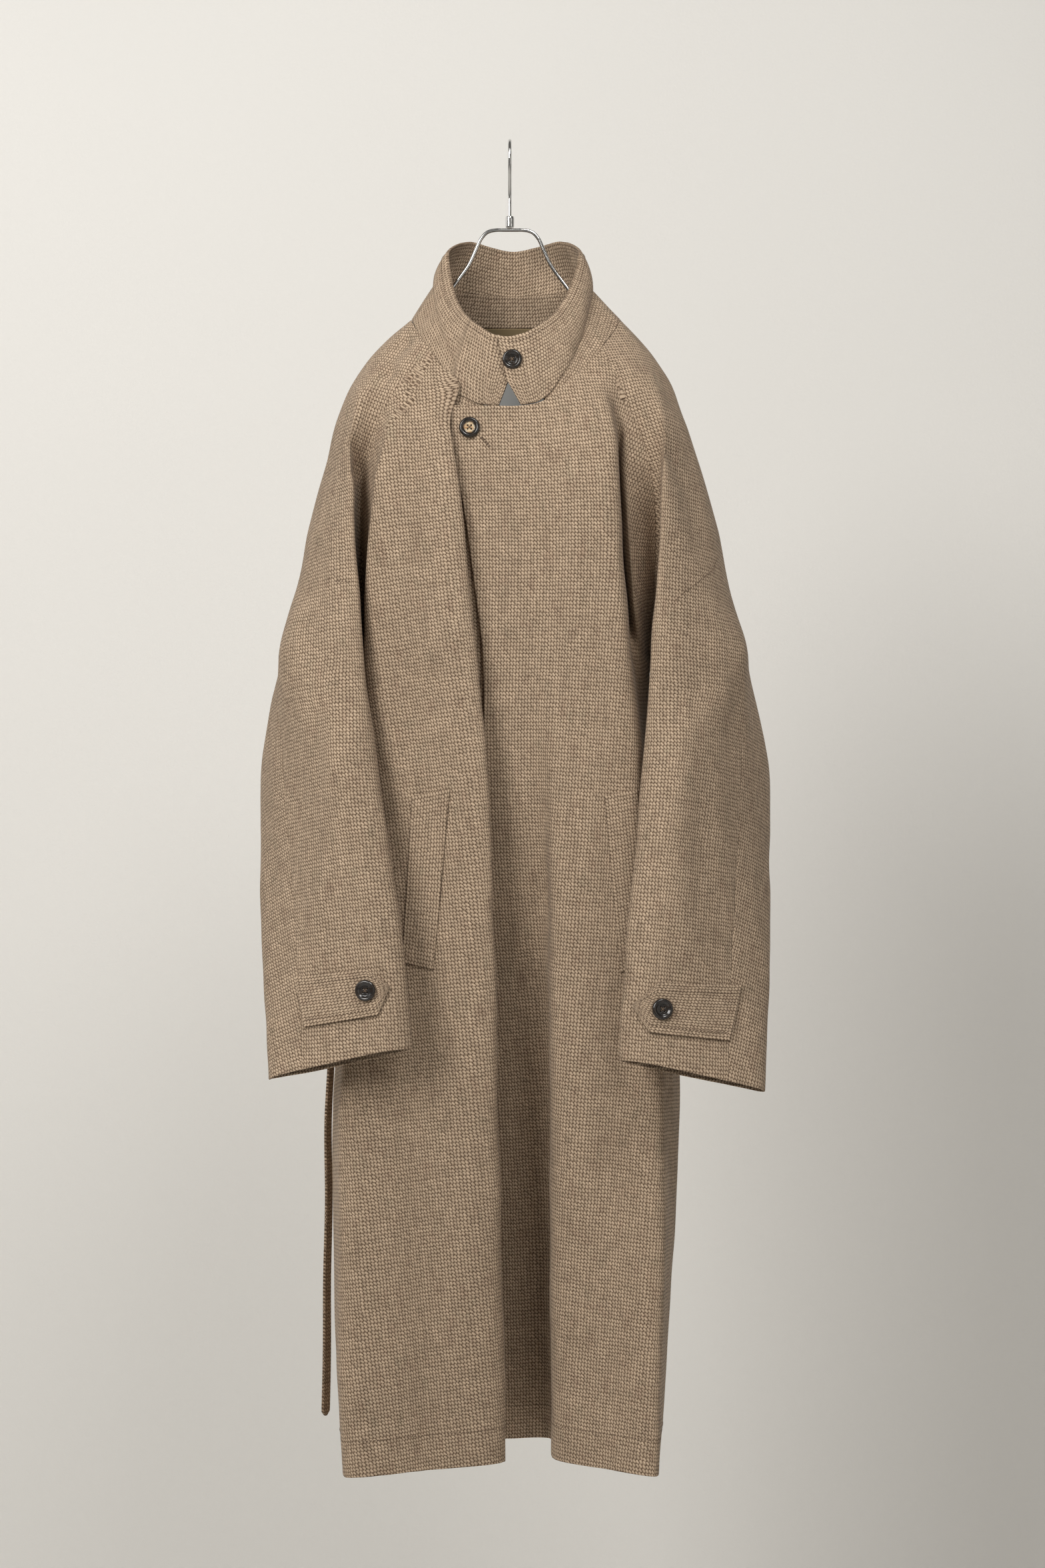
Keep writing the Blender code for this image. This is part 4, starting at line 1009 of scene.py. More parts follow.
class Shader:
    """One material under construction, with its Principled BSDF."""

    def __init__(self, name):
        old = bpy.data.materials.get(name)
        if old is not None:
            bpy.data.materials.remove(old)
        self.material = bpy.data.materials.new(name)
        self.material.use_nodes = True
        self.tree = self.material.node_tree
        self.surface = self.tree.nodes["Principled BSDF"]

    def node(self, kind, settings=None, inputs=None):
        """A node of this kind: its settings first, then values or links for its sockets."""
        made = self.tree.nodes.new(kind)
        for key, value in (settings or {}).items():
            setattr(made, key, value)
        self.feed(made, inputs or {})
        return made

    def feed(self, node, inputs):
        """Gives sockets of a node, by name or number, a value or a link."""
        for key, value in inputs.items():
            if isinstance(value, Value):
                value = value.socket
            if isinstance(value, bpy.types.NodeSocket):
                self.tree.links.new(value, node.inputs[key])
            elif isinstance(value, tuple) and len(value) == 3 and node.inputs[key].type == "RGBA":
                node.inputs[key].default_value = (*value, 1.0)
            else:
                node.inputs[key].default_value = value

    def number(self, node, output=0):
        """One output of a node as a number for arithmetic."""
        return Value(self, node.outputs[output])

    def flat_place(self):
        """The cloth's own flat coordinates, in metres, across and up."""
        place = self.node("ShaderNodeUVMap", {"uv_map": CLOTH_MAP})
        parts = self.node("ShaderNodeSeparateXYZ", None, {0: place.outputs[0]})
        return self.number(parts, 0), self.number(parts, 1)

    def solid_place(self):
        """The place in the object, in metres."""
        return self.node("ShaderNodeTexCoord").outputs["Object"]

    def noise(self, place, scale, detail=2.0, rough=0.5):
        """Soft noise from 0 to 1 at a place."""
        inputs = {"Vector": place, "Scale": scale, "Detail": detail, "Roughness": rough}
        return self.number(self.node("ShaderNodeTexNoise", None, inputs))

    def vector(self, x, y, z=0.0):
        """Three numbers as one vector."""
        return self.node("ShaderNodeCombineXYZ", None, {0: x, 1: y, 2: z}).outputs[0]

    def chance(self, place):
        """A fixed random number from 0 to 1 for each place."""
        settings = {"noise_dimensions": "3D"}
        return self.number(self.node("ShaderNodeTexWhiteNoise", settings, {"Vector": place}))

    def mix(self, share, first, second, blend="MIX"):
        """A blend of two colours."""
        made = self.node("ShaderNodeMix", {"data_type": "RGBA", "blend_type": blend},
                         {0: share, 6: first, 7: second})
        return made.outputs[2]

    def bump(self, height, distance, strength=1.0):
        """A normal from a height of 0 to 1 times a distance in metres."""
        made = self.node("ShaderNodeBump", None,
                         {"Strength": strength, "Distance": distance, "Height": height})
        return made.outputs[0]

    def finish(self, **sockets):
        """Feeds the surface's sockets and returns the material."""
        self.feed(self.surface, {key.replace("_", " ").title().replace("Ior", "IOR"): value
                                 for key, value in sockets.items()})
        return self.material

    def clear_from_behind(self):
        """Lets the back faces through, so that a wall doesn't hide the coat from behind."""
        behind = self.node("ShaderNodeNewGeometry").outputs["Backfacing"]
        clear = self.node("ShaderNodeBsdfTransparent").outputs[0]
        both = self.node("ShaderNodeMixShader", None, {0: behind, 1: self.surface.outputs[0], 2: clear})
        output = next(node for node in self.tree.nodes if node.type == "OUTPUT_MATERIAL")
        self.feed(output, {"Surface": both.outputs[0]})


def weave(shader, across, along, seed):
    """Slanted nubs of yarn in columns and rows, with darker pits between them.

    Height is a constant plus a cosine across each column, plus a cosine along it that is
    slanted by the place across. The grid wanders, and every cell has its own shift and share.
    Also returned are a random number for each nub and the slow tone of the yarns there.
    """
    u, v = shader.flat_place()
    u = u + (shader.noise(shader.vector(u, v, seed), 45.0) - 0.5) * 0.0018
    v = v + (shader.noise(shader.vector(v, u, seed + 3.0), 45.0) - 0.5) * 0.0018
    p, q = u / across, v / along
    column, row = p.floor(), q.floor()
    one = shader.chance(shader.vector(column, row, seed))
    two = shader.chance(shader.vector(row, column, seed + 1.0))
    x = p - column - 0.5 + (one - 0.5) * 0.14
    y = q - row - 0.5 + (two - 0.5) * 0.2
    turn = 2 * math.pi
    mark = ((y + x * 0.5) * turn + math.pi / 2).sine() * (two * 0.16 + 0.18)
    nub = mark + (x * turn + math.pi / 2).sine() * 0.2 + 0.5
    warp = shader.noise(shader.vector(column * 1.37, v * 26.0, seed + 5.0), 1.0, 1.0)
    weft = shader.noise(shader.vector(row * 1.37, u * 26.0, seed + 7.0), 1.0, 1.0)
    return nub, one, (warp + weft) * 0.5


def cloth_finish():
    """Thick two-tone wool: light nubs on a dark ground, mottled, with a little fuzz."""
    made = bpy.data.materials.get("woven_wool")
    if made is not None:
        return made
    cloth = bpy.context.scene.coat_cloth
    shader = Shader("woven_wool")
    nub, one, yarn = weave(shader, cloth.nub_across, cloth.nub_along, 5.0)
    place = shader.solid_place()
    u, v = shader.flat_place()
    fibre = shader.noise(shader.vector(u, v * 0.6, 1.0), 1500.0, 3.0, 0.65)
    slub = shader.noise(shader.vector(u, v * 0.35, 4.0), 130.0, 2.0, 0.6)
    patch = shader.noise(place, 13.0, 2.0, 0.55)
    red = shader.noise(shader.vector(u, v * 0.5, 8.0), 75.0, 2.0, 0.6)
    green = shader.noise(shader.vector(u, v * 0.5, 12.0), 60.0, 2.0, 0.6)
    light = shader.mix(yarn.ramp(0.1, 0.9), tuple(cloth.yarn_mid), tuple(cloth.yarn_light))
    light = shader.mix(red.ramp(0.52, 0.75) * 0.5, light, tuple(cloth.yarn_red))
    light = shader.mix(green.ramp(0.55, 0.78) * 0.4, light, tuple(cloth.yarn_green))
    share = (nub + (fibre - 0.5) * 0.9).ramp(0.08, 0.82)
    colour = shader.mix(share, tuple(cloth.yarn_dark), light)
    bright = (patch - 0.5) * 0.16 + (slub - 0.5) * 0.4 + (fibre - 0.5) * 0.5 + (one - 0.5) * 0.16 + 1.0
    colour = shader.mix(1.0, colour, shader.vector(bright, bright, bright), "MULTIPLY")
    height = nub * 0.7 + fibre * 0.3
    return shader.finish(base_color=colour, roughness=0.95, specular_ior_level=0.2,
                         sheen_weight=0.06, sheen_roughness=0.5,
                         normal=shader.bump(height, cloth.nub_height))


def plain_cloth(name, colour, roughness, thread, sheen):
    """Thin lining or facing cloth: fine ribs of thread and slow changes of tone."""
    made = bpy.data.materials.get(name)
    if made is not None:
        return made
    shader = Shader(name)
    u, v = shader.flat_place()
    ribs = (u * (2 * math.pi / thread)).sine() * (v * (2 * math.pi / thread)).sine()
    tone = shader.noise(shader.vector(u, v, 2.0), 60.0, 2.0) * 0.3 + 0.85 + ribs * 0.06
    mixed = shader.mix(1.0, colour, shader.vector(tone, tone, tone), "MULTIPLY")
    return shader.finish(base_color=mixed, roughness=roughness, sheen_weight=sheen,
                         normal=shader.bump(ribs * 0.5 + 0.5, 0.0001))


def thread_finish():
    """Sewing thread: a twisted two-ply line in the cloth's own colour."""
    made = bpy.data.materials.get("sewing_thread")
    if made is not None:
        return made
    shader = Shader("sewing_thread")
    place = shader.solid_place()
    tone = shader.noise(place, 900.0, 2.0) * 0.5 + 0.75
    plain = tuple(bpy.context.scene.coat_trim.thread)
    colour = shader.mix(1.0, plain, shader.vector(tone, tone, tone), "MULTIPLY")
    return shader.finish(base_color=colour, roughness=0.8,
                         normal=shader.bump(shader.noise(place, 2400.0), 0.0002))


def horn_finish(name, amber):
    """Polished dark horn, with an amber cloud in the dish where asked, fine scratches, and painted shade that
    makes the horn near black around each hole, because the holes are only dents.
    """
    made = bpy.data.materials.get(name)
    if made is not None:
        return made
    trim = bpy.context.scene.coat_trim
    shader = Shader(name)
    place = shader.solid_place()
    cloud = shader.noise(place, 190.0, 3.0, 0.6)
    streak = shader.noise(place, 700.0, 2.0)
    colour = shader.mix(cloud.ramp(0.4, 0.7) * 0.6, tuple(trim.horn), tuple(trim.horn_vein))
    radius, hole = shader.flat_place()
    if amber:
        middle = 1.0 - (radius + (cloud - 0.5) * 0.005).ramp(0.0044, 0.0066)
        inner = shader.mix(cloud.ramp(0.35, 0.62), tuple(trim.amber), tuple(trim.cream))
        colour = shader.mix(middle, colour, inner)
    # Painted shade: the holes are only shallow dents, so the horn is painted near black within about a
    # millimetre of each hole's centre, where a real hole would look dark.
    colour = shader.mix(1.0 - hole.ramp(0.0007, 0.0012), colour, (0.003, 0.0025, 0.002))
    rough = streak * 0.12 + 0.2
    return shader.finish(base_color=colour, roughness=rough, coat_weight=0.3, coat_roughness=0.12,
                         normal=shader.bump(streak, 0.00006))


def chrome_finish():
    """Plated wire: bright metal with faint wear and drawn marks."""
    made = bpy.data.materials.get("plated_wire")
    if made is not None:
        return made
    shader = Shader("plated_wire")
    place = shader.solid_place()
    wear, fine = shader.noise(place, 160.0, 3.0), shader.noise(place, 1400.0, 2.0)
    colour = shader.mix(wear.ramp(0.45, 0.8) * 0.35, (0.66, 0.655, 0.64), (0.42, 0.41, 0.40))
    return shader.finish(base_color=colour, metallic=1.0, roughness=wear * 0.16 + 0.1,
                         normal=shader.bump(fine, 0.00003))


def tube(path, radius, sides, up=(0.0, 1.0, 0.0)):
    """A closed round wire: a circle carried square to a path, with a flat cap at each end."""
    path = np.asarray(path, dtype=float)
    way = unit(np.gradient(path, axis=0))
    side = unit(np.cross(way, np.broadcast_to(np.array(up), way.shape)))
    other = np.cross(side, way)
    turn = np.linspace(0, 2 * np.pi, sides, endpoint=False)
    radius = np.broadcast_to(np.asarray(radius, dtype=float), (len(path),))[:, None, None]
    ring = side[:, None] * np.cos(turn)[:, None] + other[:, None] * np.sin(turn)[:, None]
    points = path[:, None] + ring * radius
    return points, ring_faces(len(path), sides)


def ring_faces(rows, sides, caps=True):
    """Quads between closed rings, then a fan of triangles over each end."""
    index = np.arange(rows * sides).reshape(rows, sides)
    after = np.roll(index, -1, axis=1)
    faces = np.stack([index[:-1], after[:-1], after[1:], index[1:]], axis=-1).reshape(-1, 4).tolist()
    if caps:
        faces.append(index[0, ::-1].tolist())
        faces.append(index[-1].tolist())
    return faces


def outwards(faces):
    """The same faces turned over."""
    return [list(face)[::-1] for face in faces]


def turned_piece(profile, sides):
    """A turned shape from (radius, height) points: each is swept into a ring about Z."""
    profile = np.asarray(profile, dtype=float)
    turn = np.linspace(0, 2 * np.pi, sides, endpoint=False)
    ring = np.stack([np.cos(turn), np.sin(turn), np.zeros(sides)], axis=-1)
    points = profile[:, :1, None] * ring + profile[:, 1, None, None] * np.array([0, 0, 1.0])
    return points, ring_faces(len(profile), sides)


def stitches(path, normal, length, gap, radius):
    """A row of stitches along a path that lies on cloth: low ovals, half sunk.

    Each is a six-sided capsule of five rings; rings shrink towards its ends.
    """
    run = np.concatenate([[0], np.cumsum(np.linalg.norm(np.diff(path, axis=0), axis=-1))])
    count = max(int(run[-1] // (length + gap)), 1)
    start = (np.arange(count) + 0.5) * run[-1] / count - length / 2
    spots = start[:, None] + np.array([0.0, 0.12, 0.5, 0.88, 1.0]) * length
    centre = np.stack([np.interp(spots, run, path[:, i]) for i in range(3)], axis=-1)
    lift = unit(np.stack([np.interp(spots, run, normal[:, i]) for i in range(3)], axis=-1))
    way = unit(centre[:, -1:] - centre[:, :1])
    side = unit(np.cross(np.broadcast_to(way, lift.shape), lift))
    size = radius * np.array([0.25, 0.8, 1.0, 0.8, 0.25])
    turn = np.linspace(0, 2 * np.pi, 6, endpoint=False)
    ring = (side[:, :, None] * np.cos(turn)[:, None] + lift[:, :, None] * np.sin(turn)[:, None])
    sink = lift * (radius * np.array([-0.7, 0.0, 0.35, 0.0, -0.7]))[:, None]
    points = (centre + sink)[:, :, None] + ring * size[:, None, None]
    faces = np.array(ring_faces(5, 6, caps=False))
    caps = np.array([[5, 4, 3, 2, 1, 0], [24, 25, 26, 27, 28, 29]])
    offset = (np.arange(count) * 30)[:, None, None]
    all_faces = (faces + offset).reshape(-1, 4).tolist() + (caps + offset).reshape(-1, 6).tolist()
    return points.reshape(-1, 3), all_faces


def inset(points, distance):
    """The line across a grid at a distance, along its columns, from the first row."""
    run = np.cumsum(np.linalg.norm(np.diff(points[..., :3], axis=0), axis=-1), axis=0)
    run = np.concatenate([np.zeros((1, run.shape[1])), run])
    after = np.clip((run < distance).sum(axis=0), 1, len(points) - 1)
    spot = np.arange(points.shape[1])
    start, end = run[after - 1, spot], run[after, spot]
    share = ((distance - start) / (end - start))[:, None]
    return between(points[after - 1, spot], points[after, spot], share)


def resampled(line, gap):
    """A line of corners with points evenly spread at about the given gap."""
    line = np.array(line, dtype=float)
    reach = np.concatenate([[0], np.cumsum(np.linalg.norm(np.diff(line, axis=0), axis=1))])
    spot = np.linspace(0, reach[-1], max(int(reach[-1] / gap), 2) + 1)
    return np.stack([np.interp(spot, reach, line[:, i]) for i in range(line.shape[1])], axis=-1)


def joined(parts):
    """Several lists of points and faces as one."""
    points, faces, start = [], [], 0
    for some, quads in parts:
        some = np.asarray(some).reshape(-1, 3)
        points.append(some)
        faces += [[start + i for i in quad] for quad in quads]
        start += len(some)
    return np.concatenate(points), faces


def colour_setting(name, description, default):
    """A colour in the panel."""
    return FloatVectorProperty(name=name, description=description, default=default,
                               subtype="COLOR", size=3, min=0, max=1)


def size_setting(name, description, default, least, unit):
    """A length, power or focal length in the panel."""
    return FloatProperty(name=name, description=description, default=default, min=least, unit=unit)


class CoatClothSettings(bpy.types.PropertyGroup):
    """The wool: the size of its nubs and its yarn colours."""

    nub_across: size_setting("Nub width", "Spacing of the nubs across the cloth", 0.00327, 0.001, "LENGTH")
    nub_along: size_setting("Nub length", "Spacing of the nubs along the cloth", 0.00398, 0.001, "LENGTH")
    nub_height: size_setting("Nub height", "How far the nubs stand up", 0.0005, 0.0, "LENGTH")
    yarn_light: colour_setting("Light yarn", "The palest nubs", (0.56, 0.428, 0.306))
    yarn_mid: colour_setting("Middle yarn", "The duller nubs", (0.395, 0.297, 0.208))
    yarn_red: colour_setting("Red yarn", "A flush of reddish brown here and there", (0.325, 0.225, 0.16))
    yarn_green: colour_setting("Green yarn", "A flush of greenish grey here and there", (0.29, 0.246, 0.17))
    yarn_dark: colour_setting("Dark yarn", "The pits between the nubs", (0.09, 0.056, 0.034))


class CoatTrimSettings(bpy.types.PropertyGroup):
    """Sewing thread, buttons and their colours."""

    stitch_length: size_setting("Stitch", "Length of one stitch", 0.0026, 0.001, "LENGTH")
    stitch_gap: size_setting("Stitch gap", "Space between two stitches", 0.0014, 0.0, "LENGTH")
    stitch_radius: size_setting("Thread thickness", "Half the width of one stitch", 0.0005, 0.0001, "LENGTH")
    thread: colour_setting("Thread", "Sewing thread", (0.135, 0.09, 0.058))
    horn: colour_setting("Horn", "Dark horn of the buttons", (0.010, 0.008, 0.007))
    horn_vein: colour_setting("Horn vein", "Paler veins in the horn", (0.035, 0.023, 0.015))
    amber: colour_setting("Amber", "The front button's dish", (0.30, 0.14, 0.045))
    cream: colour_setting("Cream", "Pale clouds in the amber", (0.62, 0.50, 0.33))


class CoatStudioSettings(bpy.types.PropertyGroup):
    """The wall, the floor, the lights and the camera."""

    wall: colour_setting("Wall", "Colour of the wall and floor", (0.80, 0.785, 0.755))
    wall_distance: size_setting("Wall distance", "From the hanger back to the wall", 1.1, 0.3, "LENGTH")
    floor_depth: size_setting("Floor depth", "From the rail down to the floor", 2.3, 1.5, "LENGTH")
    key_power: size_setting("Key light", "Power of the large soft light", 98.0, 0.0, "POWER")
    fill_power: size_setting("Fill light", "Power of the weak light", 15.0, 0.0, "POWER")
    top_power: size_setting("Top light", "Power of the light from above", 24.0, 0.0, "POWER")
    glow_power: size_setting("Wall light", "Power of the light on the wall", 6.0, 0.0, "POWER")
    lens: size_setting("Lens", "Focal length of the camera", 59.11, 20.0, "CAMERA")


class COAT_OT_body(bpy.types.Operator):
    """Makes the two fronts, the back and the four sleeve pieces."""

    bl_idname = "coat.body"
    bl_label = "Body and sleeves"

    def execute(self, context):
        sheets = all_sheets()
        for name in sheets:
            points, normal, flat = dressed(sheets, name)
            middle = trimmed(points - normal * WALL / 2)
            make_cloth("cloth_" + name, name, middle, normal, flat, WALL, cloth_finish(),
                       reverse=sheets[name].flip)
        return {"FINISHED"}


class COAT_OT_insides(bpy.types.Operator):
    """Makes the tan neck facing and the pale lining that show inside the back."""

    bl_idname = "coat.insides"
    bl_label = "Neck facing and lining"

    def execute(self, context):
        points, normal, flat = dressed(all_sheets(), "back")
        facing = plain_cloth("facing_cloth", (0.27, 0.19, 0.105), 0.75, 0.0009, 0.1)
        lining = plain_cloth("lining_cloth", (0.80, 0.84, 0.87), 0.42, 0.0005, 0.2)
        middle = points - normal * (WALL + INSIDE_GAP + LINING_WALL / 2)
        side = int(3.5 * COLUMN_STEPS)
        for name, top, bottom, finish in (("neck_facing", 0, ROW_STEPS // 2, facing),
                                          ("back_lining", ROW_STEPS // 2, ROW_STEPS * 9 // 2, lining)):
            part = (slice(top, bottom + 1), slice(side, middle.shape[1] - side))
            grid = middle[part].copy()
            if name == "back_lining":
                grid[0] += unit(grid[1] - grid[0]) * 0.3
            make_cloth("cloth_" + name, name, grid, normal[part], flat[part], LINING_WALL, finish)
        return {"FINISHED"}


class COAT_OT_collar(bpy.types.Operator):
    """Makes the collar's stand and its leaf, which is worn up and lapped at the front."""

    bl_idname = "coat.collar"
    bl_label = "Collar"

    def execute(self, context):
        sheets = all_sheets()
        around = np.linspace(STAND_START, 360 - STAND_START, 260)
        angles, rows = [], []
        for height in np.linspace(1, 0, 26):
            start = np.interp(height, LEAF_ENDS["height"], LEAF_ENDS["over"])
            end = 360 + np.interp(height, LEAF_ENDS["height"], LEAF_ENDS["under"])
            angle = np.concatenate([np.linspace(start, around[0], 40)[:-1], around,
                                    np.linspace(around[-1], end, 40)[1:]])
            angles.append(angle)
            rows.append(leaf_row(angle, height, sheets))
        self.wall("cloth_collar_leaf", "collar_leaf", np.array(rows), np.array(angles))

        foot, top = neck_points(around, sheets), stand_top(around, sheets)
        way = unit(top - foot)
        tuck = np.clip((66 - folded(around)) / 16, 0, 1)[:, None]
        foot = foot + way * STAND_GAP - tuck * (point(0, 0, STAND_TUCK[0]) + outward(around) * STAND_TUCK[1])
        top = top - way * STAND_GAP + tuck * (point(0, 0, STAND_TUCK[0]) - outward(around) * STAND_TUCK[1])
        rows = np.array([between(foot, top, share) for share in np.linspace(1, 0, 16)])
        self.wall("cloth_collar_stand", "collar_stand", rows, np.tile(around, (16, 1)))
        return {"FINISHED"}

    def wall(self, name, node, outer, angle):
        """A collar piece with level thickness and flat places by its own lengths."""
        away = outward(angle)
        rise = waves(outer, *COLLAR_WAVES, seed=21, upright=0.4)
        outer = outer + away * rise[..., None]
        across = np.linalg.norm(np.diff(outer, axis=1), axis=-1).mean(axis=0)
        u = np.concatenate([[0], np.cumsum(across)])
        down = np.linalg.norm(np.diff(outer, axis=0), axis=-1)
        v = -np.concatenate([np.zeros((1, outer.shape[1])), np.cumsum(down, axis=0)])
        flat = np.stack([np.broadcast_to(u, v.shape), v], axis=-1)
        make_cloth(name, node, outer - away * COLLAR_WALL / 2, away, flat, COLLAR_WALL, cloth_finish())


class COAT_OT_pockets(bpy.types.Operator):
    """Makes the slanted welts of the two pockets."""

    bl_idname = "coat.pockets"
    bl_label = "Pocket welts"

    def execute(self, context):
        for name, (top, bottom) in WELTS.items():
            skin = front_skin("cloth_" + name.replace("welt", "front"))
            make_laid("cloth_" + name, name, skin, top, bottom, WELT_WALL, 24, 90, "upright")
        return {"FINISHED"}


class COAT_OT_cuffs(bpy.types.Operator):
    """Makes the pointed tabs that are caught in the outer seam of each sleeve."""

    bl_idname = "coat.cuffs"
    bl_label = "Cuff tabs"

    def execute(self, context):
        for name, (top, bottom) in TABS.items():
            side = name.rsplit("_", 1)[1]
            skin = front_skin("cloth_sleeve_front_" + side, "cloth_sleeve_back_" + side)
            make_laid("cloth_" + name, name, skin, top, bottom, TAB_WALL, 80, 40, "turned")
        return {"FINISHED"}


class COAT_OT_buttons(bpy.types.Operator):
    """Makes the four dished horn buttons, each with four holes and its thread."""

    bl_idname = "coat.buttons"
    bl_label = "Buttons"

    def execute(self, context):
        for name, (x, z, size, below, amber) in BUTTONS.items():
            depth, normal = lie_on(front_skin(below), np.array([float(x)]), np.array([float(z)]))
            self.button(name, np.array([x, depth[0], z]), normal[0], size, amber)
        return {"FINISHED"}

    def button(self, name, foot, normal, size, amber):
        """A polar grid: height by radius, with four smooth dents for the holes."""
        radius, top = size / 2, len(BUTTON_RINGS)
        edge = np.array([*BUTTON_RINGS, *BUTTON_UNDER[0]])
        rise = np.array([*np.interp(BUTTON_RINGS, *BUTTON_FACE), *BUTTON_UNDER[1]])
        turn = np.linspace(0, 2 * np.pi, BUTTON_SIDES, endpoint=False)
        x = np.outer(np.maximum(edge, 0.02), np.cos(turn)) * radius
        y = np.outer(np.maximum(edge, 0.02), np.sin(turn)) * radius
        z = np.repeat(rise[:, None] * BUTTON_HEIGHT, BUTTON_SIDES, axis=1)
        hole = np.min([np.hypot(x - hx, y - hy) for hx, hy in HOLES], axis=0)
        z[:top] -= HOLE_DEPTH * np.clip(1.5 - hole[:top] / HOLE_SIZE, 0, 1) ** 2
        side = unit(np.cross((0.0, 0.0, 1.0), normal) * -1)
        up = np.cross(normal, side)
        base = foot + normal * 0.5
        points = base + x[..., None] * side + y[..., None] * up + z[..., None] * normal
        faces = outwards(ring_faces(len(edge), BUTTON_SIDES))
        flat = np.stack([np.broadcast_to(edge[:, None] * radius, hole.shape), hole], axis=-1)
        finish = horn_finish("horn_" + ("amber" if amber else "dark"), amber)
        make_piece("horn_" + name, points.reshape(-1, 3), faces, finish, (name,),
                   flat.reshape(-1, 2))
        self.cross(name, base, side, up, normal)

    def cross(self, name, base, side, up, normal):
        """The thread through the holes: two bowed lines side by side along each diagonal."""
        height = BUTTON_HEIGHT * 0.56 - 0.1
        along = np.linspace(-1, 1, 9)
        lift = height + np.cos(along * np.pi / 2) * 0.55 - 0.5 * (np.abs(along) > 0.9)
        parts = []
        for first, last in THREAD_PAIRS:
            for shift in (-THREAD_RADIUS, THREAD_RADIUS):
                line = np.linspace(HOLES[first], HOLES[last], 9)
                cross = unit(np.array([line[-1, 1] - line[0, 1], line[0, 0] - line[-1, 0]]))
                line = line + cross * shift
                path = base + line[:, :1] * side + line[:, 1:] * up + lift[:, None] * normal
                parts.append(tube(path, THREAD_RADIUS, 8, up=tuple(normal)))
        points, quads = joined(parts)
        make_piece("thread_" + name, points, quads, thread_finish(), ())


class COAT_OT_sewing(bpy.types.Operator):
    """Makes the stitched lines of the collar's rim, hem, tabs and darts, and the buttonhole."""

    bl_idname = "coat.sewing"
    bl_label = "Sewing"

    def execute(self, context):
        sheets = all_sheets()
        angle = np.linspace(LEAF_ENDS["over"][-1] + 5, 360 + LEAF_ENDS["under"][-1] - 5, 900)
        rim, foot = leaf_row(angle, 1.0, sheets), leaf_row(angle, 0.0, sheets)
        height = 1 - RIM_STITCH / np.linalg.norm(rim - foot, axis=-1)
        line = between(foot, rim, height[:, None])
        line = line + outward(angle) * (collar_column("swell", angle) * 4 * height * (1 - height))[:, None]
        line = line + outward(angle) * (waves(line, *COLLAR_WAVES, seed=21, upright=0.4) + 0.1)[:, None]
        self.row("rim", [(line, outward(angle))], context)

        hems = []
        for name in ("front_left", "front_right", "back"):
            points, normal, _ = dressed(sheets, name)
            both = inset(np.concatenate([points, normal], axis=-1)[::-1], HEM_STITCH)
            hems.append((both[:, :3] + unit(both[:, 3:]) * 0.05, both[:, 3:]))
        self.row("hem", hems, context)

        for name, (top, bottom) in TABS.items():
            grid = laid_grid(top, bottom, 81, 41)
            near, end = int(round(TAB_STITCH[0] * 40)), int(round(TAB_STITCH[1] * 80))
            far = 40 - near
            line = np.concatenate([grid[near, 2:end], grid[near:far, end], grid[far, end:1:-1]])
            self.row(name, [self.on(line, "cloth_" + name)], context)
        for side, line in DARTS.items():
            self.row("dart_" + side, [self.on(line, "cloth_sleeve_front_" + side)], context)
        lines = [self.on(np.array(BUTTONHOLE) + shift, "cloth_front_left") for shift in BUTTONHOLE_LINES]
        self.row("buttonhole", lines, context, gap=0.0003)
        return {"FINISHED"}

    def on(self, line, *below):
        """A line in the front view laid on the cloth below, with its normals."""
        line = resampled(line, 2.0)
        depth, normal = lie_on(front_skin(*below), line[:, 0], line[:, 1], 3.5)
        return point(line[:, 0], depth, line[:, 1]) + normal * 0.1, normal

    def row(self, name, lines, context, gap=None):
        """One object for the stitches of some lines."""
        trim = context.scene.coat_trim
        gap = trim.stitch_gap if gap is None else gap
        sizes = [size / MM for size in (trim.stitch_length, gap, trim.stitch_radius)]
        points, faces = joined([stitches(line, normal, *sizes) for line, normal in lines])
        make_piece("thread_" + name, points, faces, thread_finish(), ())


class COAT_OT_strap(bpy.types.Operator):
    """Makes the narrow tie strap that hangs from the side seam, turned edge on."""

    bl_idname = "coat.strap"
    bl_label = "Tie strap"

    def execute(self, context):
        back = all_sheets()["back"]
        seam = [back.count - 1]
        sewn = back.at([STRAP_ROW], seam)[0, 0]
        sewn = sewn + back.normals([STRAP_ROW], seam)[0, 0] * (0.45 + STRAP_WALL / 2)
        route = smooth(np.array([sewn, *STRAP_ROUTE]), steps(0, len(STRAP_ROUTE), 24))
        route = route + waves(route, 0.8, 90, 240, seed=31, upright=1.0)[:, None] * point(1, 0, 0)
        run = np.concatenate([[0], np.cumsum(np.linalg.norm(np.diff(route, axis=0), axis=-1))])
        turn = np.linspace(0, 1, len(route)) ** 0.5 * math.radians(STRAP_TURN)
        across = point(np.sin(turn), np.cos(turn), 0)[:, None]
        face = point(-np.cos(turn), np.sin(turn), 0)[:, None]
        wide = np.linspace(0.5, -0.5, 9)
        end = np.sqrt(np.clip(1 - (1 - np.clip((run[-1] - run) / (STRAP_WIDTH * 0.5), 0, 1)) ** 2, 0.02, 1))
        middle = route[:, None] + across * (wide[None, :, None] * (end * STRAP_WIDTH)[:, None, None])
        flat = np.stack([np.broadcast_to(wide * STRAP_WIDTH, middle.shape[:2]),
                         np.broadcast_to(-run[:, None], middle.shape[:2])], axis=-1)
        normal = np.broadcast_to(face, middle.shape)
        make_cloth("cloth_tie_strap", "tie_strap", middle, normal, flat, STRAP_WALL, cloth_finish())
        return {"FINISHED"}


